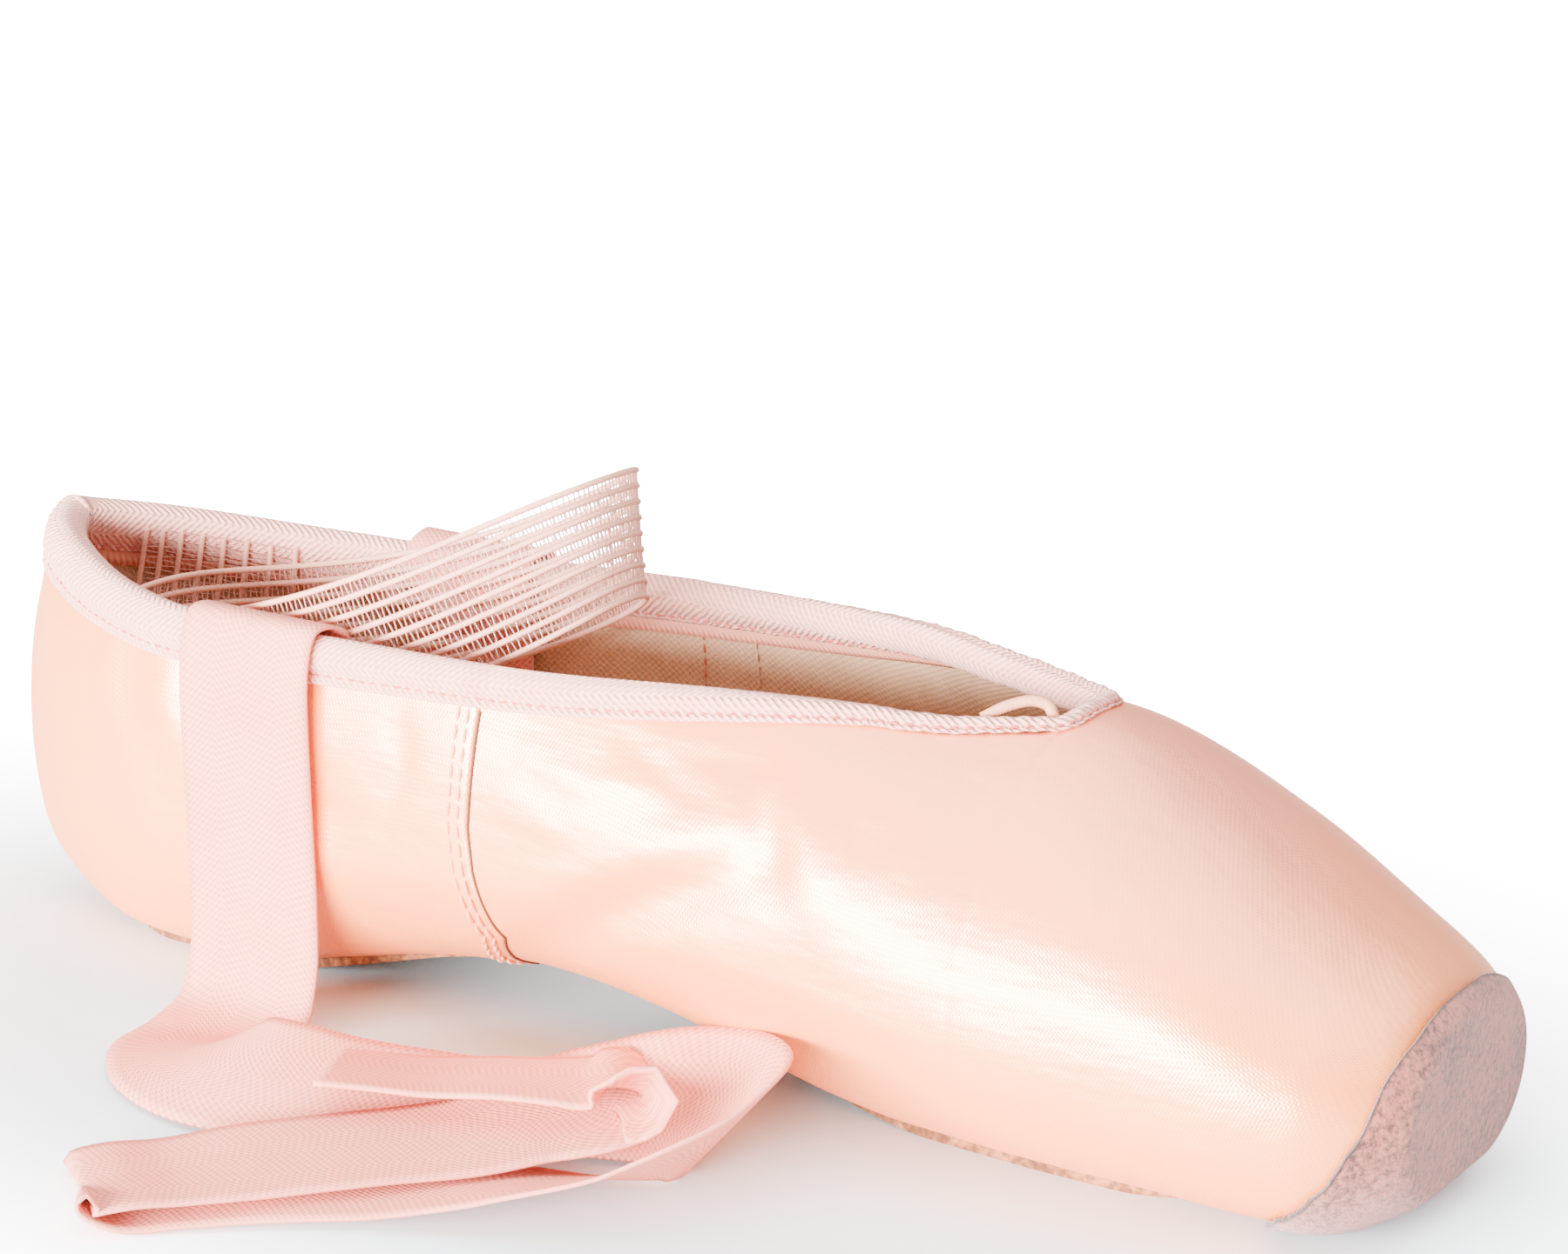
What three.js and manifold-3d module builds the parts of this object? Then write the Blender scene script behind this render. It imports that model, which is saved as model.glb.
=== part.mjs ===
// A pointe shoe standing empty on its sole: satin upper with a stiffened toe box, thin leather
// outsole, insole, suede over the toe platform, bound collar with its drawstring, a standing loop
// of mesh elastic and two woven ribbons that lie loose on the ground.
// The shoe is made on a straight last, so it is its own mirror image and fits either foot.
// Frame: millimetres, +X to the toe, -Y the near side, +Z up, floor at z = 0.

import * as THREE from "three";
import { mergeVertices } from "three/addons/utils/BufferGeometryUtils.js";
import Module from "manifold-3d";

const wasm = await Module();
wasm.setup();

// Driving dimensions
const shoeLength = 238;
const suedeThickness = 0.7;
const fitGap = 0.3;
const tapeGap = 0.55;
const lastLength = shoeLength - suedeThickness - fitGap;
const quarterWall = 1.8;
const boxWall = 3;
const boxStart = 188;
const boxFull = 212;
const soleThickness = 1.5;
const insoleThickness = 1.6;
const throatStation = 180;
const originStation = 118.75;
const tapeThickness = 0.8;
const seamStation = 102;
const seamStep = 0.5;
const elasticThickness = 0.8;
const ribbonWidth = 22;
const ribbonThickness = 0.6;
const cordDiameter = 1.6;

// The last, a row for each section: s is the distance from the heel, then the half width, the
// heights of the bottom, the widest line and the crown, and how square the section is below and
// above the widest line (2 is an ellipse).
const lastSections = [
  { s: 0, half: 28.5, bottom: 28, widest: 36, crown: 92, below: 2.3, above: 2.1 },
  { s: 5, half: 28.5, bottom: 13.4, widest: 32.5, crown: 95, below: 2.4, above: 2.0 },
  { s: 15, half: 28.5, bottom: 5.5, widest: 30, crown: 95, below: 2.5, above: 1.8 },
  { s: 34, half: 28.5, bottom: 1.8, widest: 29, crown: 95, below: 2.8, above: 1.8 },
  { s: 56, half: 29.8, bottom: 1.8, widest: 29, crown: 91, below: 2.6, above: 2.1 },
  { s: 70, half: 30.8, bottom: 4.4, widest: 29, crown: 85, below: 2.3, above: 2.25 },
  { s: 85, half: 32.1, bottom: 8, widest: 29, crown: 80.5, below: 2.2, above: 2.35 },
  { s: 100, half: 33.4, bottom: 10.4, widest: 29, crown: 76.3, below: 2.2, above: 2.45 },
  { s: 115, half: 34.5, bottom: 10.6, widest: 28.5, crown: 72, below: 2.15, above: 2.4 },
  { s: 130, half: 35.3, bottom: 8.6, widest: 27.7, crown: 68.2, below: 2.1, above: 2.3 },
  { s: 145, half: 36.6, bottom: 5, widest: 26.6, crown: 64, below: 2.1, above: 2.35 },
  { s: 158, half: 37.6, bottom: 2.6, widest: 25.6, crown: 60.6, below: 2.15, above: 2.4 },
  { s: 168, half: 38.1, bottom: 1.8, widest: 24.6, crown: 59.7, below: 2.2, above: 2.2 },
  { s: 180, half: 38.2, bottom: 1.8, widest: 23.3, crown: 59, below: 2.3, above: 1.95 },
  { s: 205, half: 35.7, bottom: 1.8, widest: 20, crown: 48.2, below: 2.5, above: 2.3 },
  { s: 225, half: 31, bottom: 1.8, widest: 17.4, crown: 37, below: 2.9, above: 2.15 },
  { s: 237, half: 23.2, bottom: 5, widest: 17, crown: 31, below: 2.4, above: 2.0 },
];
const soleBed = 1.1;
const heelRound = 44;
const heelPoint = 1.45;
const toeRound = 7;
const toeTaper = 0.14;
const heelLean = 7.5;
const leanFrom = 32;
const leanPer = 30;
const leanReach = 50;

// Height of the collar edge along the opening, from the heel (0) to the throat (1)
const collarEdge = [
  { around: 0, height: 59.6 },
  { around: 0.15, height: 57.3 },
  { around: 0.35, height: 54.2 },
  { around: 0.55, height: 56.1 },
  { around: 0.72, height: 58.3 },
  { around: 0.82, height: 57.8 },
  { around: 0.885, height: 58.1 },
  { around: 0.946, height: 58.3 },
  { around: 1, height: 59 },
];

// How far the binding reaches down each face of the wall, from the heel (0) to the throat (1)
const tapeDrops = [
  { around: 0, drop: 6.4 },
  { around: 0.33, drop: 6 },
  { around: 0.43, drop: 5.2 },
  { around: 0.54, drop: 4.5 },
  { around: 0.65, drop: 3.9 },
  { around: 0.75, drop: 2.9 },
  { around: 0.85, drop: 2.3 },
  { around: 1, drop: 1.7 },
];

// Half width of the outsole, heel seat, waist and forepart
const soleOutline = [
  { s: 25, half: 14.5 },
  { s: 45, half: 15.5 },
  { s: 62, half: 15 },
  { s: 85, half: 10.6 },
  { s: 102, half: 9.5 },
  { s: 120, half: 9.9 },
  { s: 150, half: 14.6 },
  { s: 170, half: 18.2 },
  { s: 192, half: 19.3 },
  { s: 214, half: 18.5 },
];
const soleHeelRound = 13;
const soleToeRound = 17;
const soleStart = 25;
const soleEnd = 214;
const lastingMargin = 6;

// Where the suede ends on the side of the toe: x from the heel, height
const suedeEdge = [
  { s: 216, height: -4 },
  { s: 221, height: 3.5 },
  { s: 227, height: 8.5 },
  { s: 230.5, height: 13 },
  { s: 232.8, height: 19 },
  { s: 234, height: 25 },
  { s: 235.2, height: 30 },
  { s: 236, height: 40 },
];

// A smooth reading of one column of a table that never overshoots its rows
function readTable(rows, at, key, where) {
  const n = rows.length;
  if (where <= rows[0][at]) return rows[0][key];
  if (where >= rows[n - 1][at]) return rows[n - 1][key];
  let i = 0;
  while (rows[i + 1][at] < where) i += 1;
  const step = (k) => rows[k + 1][at] - rows[k][at];
  const rise = (k) => (rows[k + 1][key] - rows[k][key]) / step(k);
  const slope = (k) => {
    if (k === 0) return rise(0);
    if (k === n - 1) return rise(n - 2);
    if (rise(k - 1) * rise(k) <= 0) return 0;
    const a = 2 * step(k) + step(k - 1);
    const b = step(k) + 2 * step(k - 1);
    return (a + b) / (a / rise(k - 1) + b / rise(k));
  };
  const h = step(i);
  const t = (where - rows[i][at]) / h;
  const u = 1 - t;
  return (
    u * u * (1 + 2 * t) * rows[i][key] +
    t * t * (3 - 2 * t) * rows[i + 1][key] +
    h * (t * u * u * slope(i) - t * t * u * slope(i + 1))
  );
}

const clamp = (v, low, high) => Math.min(high, Math.max(low, v));

function lean(s, z) {
  const up = clamp((z - leanFrom) / leanPer, 0, 2);
  return heelLean * up * up * clamp(1 - s / leanReach, 0, 1);
}

function section(s) {
  const read = (key) => readTable(lastSections, "s", key, s);
  const back = clamp((heelRound - s) / heelRound, 0, 1);
  const heel = Math.pow(1 - Math.pow(back, heelPoint), 1 / heelPoint);
  const front = clamp((s - lastLength + toeRound) / toeRound, 0, 1);
  const toe = 1 - toeTaper * (1 - Math.sqrt(1 - front * front));
  const widest = read("widest");
  return {
    half: read("half") * heel * toe,
    widest,
    depth: (widest - read("bottom")) * toe,
    rise: (read("crown") - widest) * toe,
    below: read("below"),
    above: read("above"),
  };
}

// A point of the last: angle 0 is the far side, 90 degrees the crown, -90 degrees the bottom
function lastPoint(s, angle) {
  const f = section(s);
  const c = Math.cos(angle);
  const d = Math.sin(angle);
  const power = 2 / (d < 0 ? f.below : f.above);
  const y = f.half * Math.sign(c) * Math.pow(Math.abs(c), power);
  const up = Math.pow(Math.abs(d), power);
  const z = d < 0 ? f.widest - f.depth * Math.min(1, soleBed * up) : f.widest + f.rise * up;
  return new THREE.Vector3(s - originStation + lean(s, z), y, z);
}

function lastNormal(s, angle) {
  const ds = 0.2;
  const da = 0.02;
  const from = clamp(s - ds, 0, lastLength);
  const to = clamp(s + ds, 0, lastLength);
  const along = lastPoint(to, angle).sub(lastPoint(from, angle));
  const round = lastPoint(s, angle + da).sub(lastPoint(s, angle - da));
  const normal = round.cross(along);
  const centre = new THREE.Vector3(s - originStation, 0, section(s).widest);
  if (s <= 0 || normal.lengthSq() < 1e-10) {
    const z = lastPoint(0, angle).z;
    const slope = (lean(0, z + ds) - lean(0, z - ds)) / (2 * ds);
    return new THREE.Vector3(-1, 0, slope).normalize();
  }
  normal.normalize();
  if (normal.dot(lastPoint(s, angle).sub(centre)) < 0) normal.negate();
  return normal;
}

const wallAt = (s) => {
  const t = clamp((s - boxStart) / (boxFull - boxStart), 0, 1);
  return quarterWall + (boxWall - quarterWall) * t * t * (3 - 2 * t);
};

// Solids
function outward(geometry) {
  const p = geometry.getAttribute("position");
  const index = geometry.index.array;
  const v = [new THREE.Vector3(), new THREE.Vector3(), new THREE.Vector3()];
  let volume = 0;
  for (let i = 0; i < index.length; i += 3) {
    v.forEach((q, k) => q.fromBufferAttribute(p, index[i + k]));
    volume += v[0].dot(v[1].clone().cross(v[2]));
  }
  if (volume < 0) {
    for (let i = 0; i < index.length; i += 3) {
      [index[i + 1], index[i + 2]] = [index[i + 2], index[i + 1]];
    }
  }
  return geometry;
}

// A closed form through rings of points: open rows are capped with fans, a loop has no ends
function loft(rings, loop = false) {
  const n = rings[0].length;
  const points = rings.flat();
  const faces = [];
  const last = loop ? rings.length : rings.length - 1;
  for (let i = 0; i < last; i += 1) {
    const next = (i + 1) % rings.length;
    for (let j = 0; j < n; j += 1) {
      const k = (j + 1) % n;
      faces.push(i * n + j, next * n + j, next * n + k);
      faces.push(i * n + j, next * n + k, i * n + k);
    }
  }
  const cap = (start, turn) => {
    const centre = new THREE.Vector3();
    for (let j = 0; j < n; j += 1) centre.add(points[start + j]);
    points.push(centre.divideScalar(n));
    const hub = points.length - 1;
    for (let j = 0; j < n; j += 1) {
      const a = start + j;
      const b = start + ((j + 1) % n);
      faces.push(hub, turn ? b : a, turn ? a : b);
    }
  };
  if (!loop) {
    cap(0, false);
    cap((rings.length - 1) * n, true);
  }
  const geometry = new THREE.BufferGeometry().setFromPoints(points);
  geometry.setIndex(faces);
  return tidy(geometry);
}

// Shared vertices are merged and faces with no area are left out
function tidy(geometry) {
  const g = mergeVertices(geometry, 1e-3);
  const index = Array.from(g.index.array);
  const kept = [];
  for (let i = 0; i < index.length; i += 3) {
    const [a, b, c] = index.slice(i, i + 3);
    if (a !== b && b !== c && a !== c) kept.push(a, b, c);
  }
  g.setIndex(kept);
  return outward(g);
}

function solid(geometry) {
  return new wasm.Manifold(
    new wasm.Mesh({
      numProp: 3,
      vertProperties: geometry.getAttribute("position").array,
      triVerts: new Uint32Array(geometry.index.array),
    }),
  );
}

function geometryOf(body) {
  const mesh = body.getMesh();
  const g = new THREE.BufferGeometry();
  g.setAttribute("position", new THREE.BufferAttribute(mesh.vertProperties, 3));
  g.setIndex(Array.from(mesh.triVerts));
  return g;
}

// A plate between two heights whose outline is a list of [x, y]
function plate(outline, low, high) {
  const shape = new THREE.Shape(outline.map(([x, y]) => new THREE.Vector2(x, y)));
  const g = new THREE.ExtrudeGeometry(shape, { depth: high - low, bevelEnabled: false, steps: 1 });
  g.translate(0, 0, low);
  g.deleteAttribute("normal");
  g.deleteAttribute("uv");
  return tidy(g);
}

// The stations of the last's rings, close together at the rounded heel, the side seam and the toe
const stations = [];
const heelRings = 9;
for (let i = 0; i <= heelRings; i += 1) {
  stations.push(heelRound * (1 - Math.cos((i / heelRings) * (Math.PI / 2))));
}
const bodyRings = 18;
const bodyEnd = lastLength - toeRound;
for (let i = 1; i <= bodyRings; i += 1) {
  stations.push(heelRound + ((bodyEnd - heelRound) * i) / bodyRings);
}
const toeRings = 5;
for (let i = 1; i <= toeRings; i += 1) {
  stations.push(bodyEnd + toeRound * Math.sin((i / toeRings) * (Math.PI / 2)));
}
const seamHalfWidth = 0.4;
const upperStations = stations
  .filter((s) => Math.abs(s - seamStation) > 3)
  .concat([seamStation - seamHalfWidth, seamStation + seamHalfWidth])
  .sort((a, b) => a - b);

const aroundSteps = 38;
const angleOf = (j) => (j / aroundSteps) * 2 * Math.PI - Math.PI / 2;

// The last grown outwards, or shrunk where offset gives less than nothing
function skin(rows, offset) {
  const rings = rows.map((s) => {
    const ring = [];
    for (let j = 0; j < aroundSteps; j += 1) {
      const angle = angleOf(j);
      ring.push(lastPoint(s, angle).addScaledVector(lastNormal(s, angle), offset(s, angle)));
    }
    return ring;
  });
  return solid(loft(rings));
}

// The collar edge as a line on the last, from the heel (0) to the throat (1)
function collarPoint(around, side) {
  const s = (throatStation * (1 - Math.cos(around * Math.PI))) / 2;
  const f = section(s);
  const height = Math.min(readTable(collarEdge, "around", "height", around), f.widest + f.rise);
  const up = clamp((height - f.widest) / f.rise, 0, 1);
  const angle = Math.asin(Math.pow(up, f.above / 2));
  const turned = side > 0 ? angle : Math.PI - angle;
  return { s, angle: turned, point: lastPoint(s, turned), normal: lastNormal(s, turned) };
}

// How far a point stands off the last along a direction
function standOff(point, direction) {
  const inside = (t) => {
    const q = point.clone().addScaledVector(direction, -t);
    let s = q.x + originStation;
    for (let i = 0; i < 6; i += 1) s = q.x + originStation - lean(clamp(s, 0, lastLength), q.z);
    if (s <= 0 || s >= lastLength) return false;
    const f = section(s);
    const above = q.z > f.widest;
    const power = above ? f.above : f.below;
    const height = above ? f.rise : f.depth * soleBed;
    const across = Math.pow(Math.abs(q.y) / f.half, power);
    return across + Math.pow(Math.abs(q.z - f.widest) / height, power) < 1;
  };
  let low = -6;
  let high = 6;
  for (let i = 0; i < 30; i += 1) {
    const middle = (low + high) / 2;
    if (inside(middle)) high = middle;
    else low = middle;
  }
  return (low + high) / 2;
}

// Upper: the quarters lap over the vamp at the side seam, a step of the outer face that dies out
// at the sole bed
const lapFrom = -0.93;
const lapFull = -0.82;
function lap(s, angle) {
  if (s > seamStation) return 0;
  return seamStep * clamp((Math.sin(angle) - lapFrom) / (lapFull - lapFrom), 0, 1);
}
const collarSteps = 28;

function collarCutter() {
  const reachIn = quarterWall + 2;
  const reachOut = 4;
  const overHeel = 110;
  const rings = [];
  for (let i = 0; i <= collarSteps; i += 1) {
    const sides = [-1, 1].map((side) => {
      const c = collarPoint(i / collarSteps, side);
      const low = c.point.clone().addScaledVector(c.normal, -reachIn);
      const out = c.point.clone().addScaledVector(c.normal, reachOut);
      if (i === 0 || i === collarSteps) {
        low.y = 0;
        out.y = 0;
      }
      return [low, out, new THREE.Vector3(out.x, out.y, overHeel)];
    });
    rings.push([...sides[0], ...sides[1].reverse()]);
  }
  return solid(loft(rings));
}

function soleHalf(s) {
  const heel = clamp((soleStart + soleHeelRound - s) / soleHeelRound, 0, 1);
  const toe = clamp((s - soleEnd + soleToeRound) / soleToeRound, 0, 1);
  const end = Math.sqrt(1 - Math.max(heel, toe) ** 2);
  return readTable(soleOutline, "s", "half", s) * end;
}

// The hole that the sole closes: the upper is turned in under it by the lasting margin
function soleOpening() {
  const from = soleStart + lastingMargin;
  const to = soleEnd - lastingMargin;
  const steps = 30;
  const narrowest = 2.5;
  const underFloor = -5;
  const overWaist = 14;
  const side = [];
  for (let i = 0; i <= steps; i += 1) {
    const s = from + (to - from) * (0.5 - 0.5 * Math.cos((i / steps) * Math.PI));
    side.push([s - originStation, Math.max(narrowest, soleHalf(s) - lastingMargin)]);
  }
  const mirrored = side.map(([x, y]) => [x, -y]).reverse();
  return solid(plate([...side, ...mirrored], underFloor, overWaist));
}

function makeUpper() {
  const outer = skin(upperStations, lap);
  const inner = skin(stations, (s) => -wallAt(s));
  return outer.subtract(inner).subtract(collarCutter()).subtract(soleOpening());
}

// A point under or over the middle of the sole bed: offset is outwards, so down
function bedPoint(s, offset) {
  const bottom = -Math.PI / 2;
  return lastPoint(s, bottom).addScaledVector(lastNormal(s, bottom), offset);
}

// A flat layer that follows the bed between two offsets, with its half width along s
const blunt = 0.4;
function bedLayer(from, to, steps, half, near, far) {
  const rings = [];
  for (let i = 0; i <= steps; i += 1) {
    const s = from + (to - from) * (0.5 - 0.5 * Math.cos((i / steps) * Math.PI));
    const y = Math.max(blunt, half(s));
    const a = bedPoint(s, near(s));
    const b = bedPoint(s, far(s));
    rings.push([
      new THREE.Vector3(a.x, -y, a.z),
      new THREE.Vector3(a.x, y, a.z),
      new THREE.Vector3(b.x, y, b.z),
      new THREE.Vector3(b.x, -y, b.z),
    ]);
  }
  return loft(rings);
}

const outsoleSteps = 46;
function outsole() {
  const top = () => fitGap;
  const bottom = () => fitGap + soleThickness;
  return bedLayer(soleStart, soleEnd, outsoleSteps, soleHalf, top, bottom);
}

// Insole: a board over the sole opening, as wide as the flat of the bed
const insoleStart = 14;
const insoleEnd = 223;
const insoleMargin = 1;
const boardGap = 0.5;

function insoleHalf(s) {
  const f = section(s);
  const flat = Math.pow(1 / soleBed, f.below / 2);
  const half = f.half * Math.pow(Math.sqrt(1 - flat * flat), 2 / f.below);
  const heel = clamp((insoleStart + soleHeelRound - s) / soleHeelRound, 0, 1);
  const toe = clamp((s - insoleEnd + soleToeRound) / soleToeRound, 0, 1);
  return (half - insoleMargin) * Math.sqrt(1 - Math.max(heel, toe) ** 2);
}

const insoleSteps = 30;
function insole() {
  const bottom = (s) => -wallAt(s) - boardGap;
  const top = (s) => bottom(s) - insoleThickness;
  return bedLayer(insoleStart, insoleEnd, insoleSteps, insoleHalf, bottom, top);
}

// Suede over the platform: a shell of the last's own form, cut off along its edge
function toeSuede() {
  const toeStations = stations.filter((s) => s > 200);
  const shell = skin(toeStations, () => fitGap + suedeThickness).subtract(
    skin(toeStations, () => fitGap),
  );
  const edge = suedeEdge.map((row) => new THREE.Vector2(row.s - originStation, row.height));
  const curve = new THREE.SplineCurve(edge).getPoints(20);
  const front = shoeLength - originStation + 10;
  const lowest = edge[0].y;
  const highest = edge[edge.length - 1].y;
  const outline = [...curve.map((p) => [p.x, p.y]), [front, highest], [front, lowest]];
  const reach = 60;
  const cutter = plate(outline, -reach, reach).rotateX(Math.PI / 2);
  return geometryOf(shell.intersect(solid(outward(cutter))));
}

// Collar binding: a tape folded over the edge, thicker at the fold where the drawstring runs
function bindingFrame(around, side) {
  const c = collarPoint(around, side);
  const d = 0.004;
  const ahead = collarPoint(Math.min(1, around + d), side).point;
  const behind = collarPoint(Math.max(0, around - d), side).point;
  const along = ahead.sub(behind).normalize();
  if (around === 0 || around === 1) {
    along.set(0, 1, 0);
    c.normal.y = 0;
    c.normal.normalize();
    c.point.y = 0;
  }
  const edge = c.normal.clone().cross(along).normalize();
  const intoOpening = new THREE.Vector3(throatStation / 2 - originStation + 20, 0, 90).sub(c.point);
  if (edge.dot(intoOpening) < 0) edge.negate();
  return { ...c, edge };
}

function onWall(frame, across, up) {
  const q = frame.point.clone().addScaledVector(frame.edge, up);
  if (up < 0) q.addScaledVector(frame.normal, -standOff(q, frame.normal));
  return q.addScaledVector(frame.normal, across);
}

function binding() {
  const rings = [];
  const out = seamStep + tapeGap;
  const inn = quarterWall + tapeGap;
  const bulge = 0.4;
  const foldHeight = 1.6;
  const ring = (around, side) => {
    const frame = bindingFrame(around, side);
    const drop = readTable(tapeDrops, "around", "drop", around);
    const face = tapeThickness;
    return [
      [out, -drop],
      [out + face, -drop],
      [out + face, -drop * 0.45],
      [out + face + bulge, -drop * 0.18],
      [out + face * 0.7, foldHeight * 0.56],
      [0, foldHeight],
      [-quarterWall, foldHeight],
      [-inn - face * 0.7, foldHeight * 0.56],
      [-inn - face - bulge, -drop * 0.18],
      [-inn - face, -drop * 0.45],
      [-inn - face, -drop * 0.9],
      [-inn, -drop * 0.9],
      [-inn, tapeGap],
      [out, tapeGap],
    ].map(([across, up]) => onWall(frame, across, up));
  };
  for (let i = 0; i <= collarSteps; i += 1) rings.push(ring(i / collarSteps, -1));
  for (let i = collarSteps - 1; i > 0; i -= 1) rings.push(ring(i / collarSteps, 1));
  return loft(rings, true);
}

// A flat strip: centre, width direction and normal at each step, rounded at its edges
function strip(rows, width, thickness, loop = false) {
  const rings = rows.map(({ centre, across }, i) => {
    const n = rows.length;
    const after = rows[loop ? (i + 1) % n : Math.min(n - 1, i + 1)].centre;
    const before = rows[loop ? (i + n - 1) % n : Math.max(0, i - 1)].centre;
    const along = after.clone().sub(before).normalize();
    const wide = across.clone().addScaledVector(along, -across.dot(along)).normalize();
    const normal = along.clone().cross(wide).normalize();
    const w = (rows[i].width ?? width) / 2;
    const h = thickness / 2;
    return [
      [-w, 0],
      [-w * 0.97, h],
      [-w * 0.4, h],
      [w * 0.4, h],
      [w * 0.97, h],
      [w, 0],
      [w * 0.97, -h],
      [-w * 0.97, -h],
    ].map(([a, b]) => centre.clone().addScaledVector(wide, a).addScaledVector(normal, b));
  });
  return loft(rings, loop);
}

// Elastic strap: a closed loop round the ankle's place, low inside the heel and high in front,
// with a tab at each side that is sewn flat inside the heel wall
const strapCentreX = -56.2;
const strapHalfLength = 42;
const strapHalfWidth = 22;
const strapSquare = 2.4;
const strapLow = 39.5;
const strapHigh = 70.3;
const strapClimb = 1.8;
const strapFlare = 0.14;
const strapWidthFront = 19;
const strapWidthBack = 21.5;
const tabFrom = 0.135;
const tabTo = 0.275;
const tabDrops = [-0.5, -7, -13, -19];
const tabTuck = 4.4;

function strapPoint(turn) {
  const c = Math.cos(turn);
  const d = Math.sin(turn);
  const power = 2 / strapSquare;
  const x = strapHalfLength * Math.sign(c) * Math.pow(Math.abs(c), power);
  const y = strapHalfWidth * Math.sign(d) * Math.pow(Math.abs(d), power);
  const front = 0.5 + (0.5 * x) / strapHalfLength;
  const z = strapLow + (strapHigh - strapLow) * Math.pow(front, strapClimb);
  return new THREE.Vector3(strapCentreX + x, y, z);
}

function elasticTab(side) {
  const stand = -quarterWall - tapeGap - fitGap - 1.2;
  const deepest = tabDrops[tabDrops.length - 1];
  const rings = [];
  const steps = 7;
  for (let i = 0; i <= steps; i += 1) {
    const frame = bindingFrame(tabFrom + ((tabTo - tabFrom) * i) / steps, side);
    const inward = (up) => stand - tabTuck * Math.pow(up / deepest, 2) * (i / steps);
    const outer = tabDrops.map((up) => onWall(frame, inward(up), up));
    const inner = tabDrops.map((up) => onWall(frame, inward(up) - elasticThickness, up));
    rings.push([...outer, ...inner.reverse()]);
  }
  return loft(rings);
}

function elasticStrap() {
  const steps = 48;
  const rows = [];
  for (let i = 0; i < steps; i += 1) {
    const turn = (i / steps) * 2 * Math.PI;
    const across = new THREE.Vector3(-strapFlare * Math.cos(turn), 0, 1).normalize();
    const front = 0.5 + 0.5 * Math.cos(turn);
    const width = strapWidthBack + (strapWidthFront - strapWidthBack) * front;
    rows.push({ centre: strapPoint(turn), across, width });
  }
  let body = solid(strip(rows, strapWidthBack, elasticThickness, true));
  for (const side of [-1, 1]) body = body.add(solid(elasticTab(side)));
  return geometryOf(body);
}

// Ribbons: sewn inside a quarter, over the binding, down the side and loose in folds on the ground.
// A row for each point of the tape's middle; bearing and bank turn the direction of its width.
const nearRibbon = [
  { x: -55, y: -25.3, z: 34.5, bearing: 0, bank: 0 },
  { x: -55.2, y: -24.8, z: 41.5, bearing: 0, bank: 0 },
  { x: -55.3, y: -23.9, z: 48.5, bearing: 0, bank: 0 },
  { x: -55.4, y: -23.1, z: 53, bearing: 0, bank: 0 },
  { x: -55.5, y: -23.5, z: 55.8, bearing: 0, bank: 0 },
  { x: -55.7, y: -26.7, z: 57.4, bearing: 0, bank: 0 },
  { x: -55.9, y: -30.3, z: 57.2, bearing: 0, bank: 0 },
  { x: -55.9, y: -31.9, z: 54.7, bearing: 0, bank: 0 },
  { x: -55.7, y: -32.8, z: 49, bearing: 0, bank: 0 },
  { x: -54.5, y: -33.5, z: 38, bearing: 0, bank: 0 },
  { x: -53.5, y: -33.7, z: 28, bearing: 0, bank: 0 },
  { x: -52.5, y: -33.9, z: 18, bearing: 0, bank: 0 },
  { x: -51.8, y: -34.5, z: 9, bearing: 0, bank: 0 },
  { x: -51.2, y: -37.2, z: 3, bearing: 0, bank: 0 },
  { x: -50, y: -44, z: 1, bearing: 5, bank: 0 },
  { x: -49, y: -53, z: 2, bearing: 20, bank: 6 },
  { x: -43, y: -61, z: 4, bearing: 55, bank: 16 },
  { x: -33, y: -65, z: 5.5, bearing: 90, bank: 24 },
  { x: -21, y: -62, z: 5, bearing: 115, bank: 22 },
  { x: -10, y: -55, z: 4, bearing: 120, bank: 14 },
  { x: 2, y: -49, z: 3.5, bearing: 115, bank: 12 },
  { x: 13, y: -44, z: 5.5, bearing: 110, bank: 24 },
  { x: 26, y: -41, z: 8, bearing: 80, bank: 42 },
  { x: 36, y: -47, z: 9.5, bearing: 30, bank: 52 },
  { x: 36, y: -58, z: 8, bearing: -25, bank: 42 },
  { x: 27, y: -67, z: 5, bearing: -55, bank: 22 },
  { x: 14, y: -73, z: 3, bearing: -65, bank: 8 },
  { x: 2, y: -79, z: 2, bearing: -60, bank: 0 },
  { x: -10, y: -87, z: 2, bearing: -55, bank: -4 },
  { x: -19, y: -95, z: 0.9, bearing: -50, bank: 0 },
  { x: -25, y: -101, z: 0.9, bearing: -45, bank: 0 },
  { x: -28, y: -103, z: 2.6, bearing: -45, bank: 0 },
  { x: -25, y: -100, z: 3.6, bearing: -44, bank: 0 },
  { x: -20, y: -94, z: 3.5, bearing: -42, bank: 0 },
  { x: -12, y: -85, z: 4.2, bearing: -42, bank: -3 },
  { x: -4, y: -76, z: 4.6, bearing: -42, bank: -3 },
  { x: 5, y: -66, z: 5, bearing: -42, bank: -4 },
  { x: 11, y: -58, z: 6, bearing: -42, bank: -5 },
  { x: 17, y: -53, z: 7, bearing: -42, bank: -4 },
  { x: 19, y: -50, z: 7.6, bearing: -42, bank: -2 },
  { x: 22, y: -48, z: 9.2, bearing: -42, bank: 0 },
  { x: 18, y: -48, z: 10.8, bearing: -43, bank: 2 },
  { x: 13, y: -50, z: 10, bearing: -44, bank: 6 },
  { x: 3, y: -53, z: 9, bearing: -46, bank: 8 },
  { x: -8, y: -57, z: 8, bearing: -50, bank: 8 },
  { x: -19, y: -62, z: 8.6, bearing: -54, bank: 6 },
];
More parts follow.
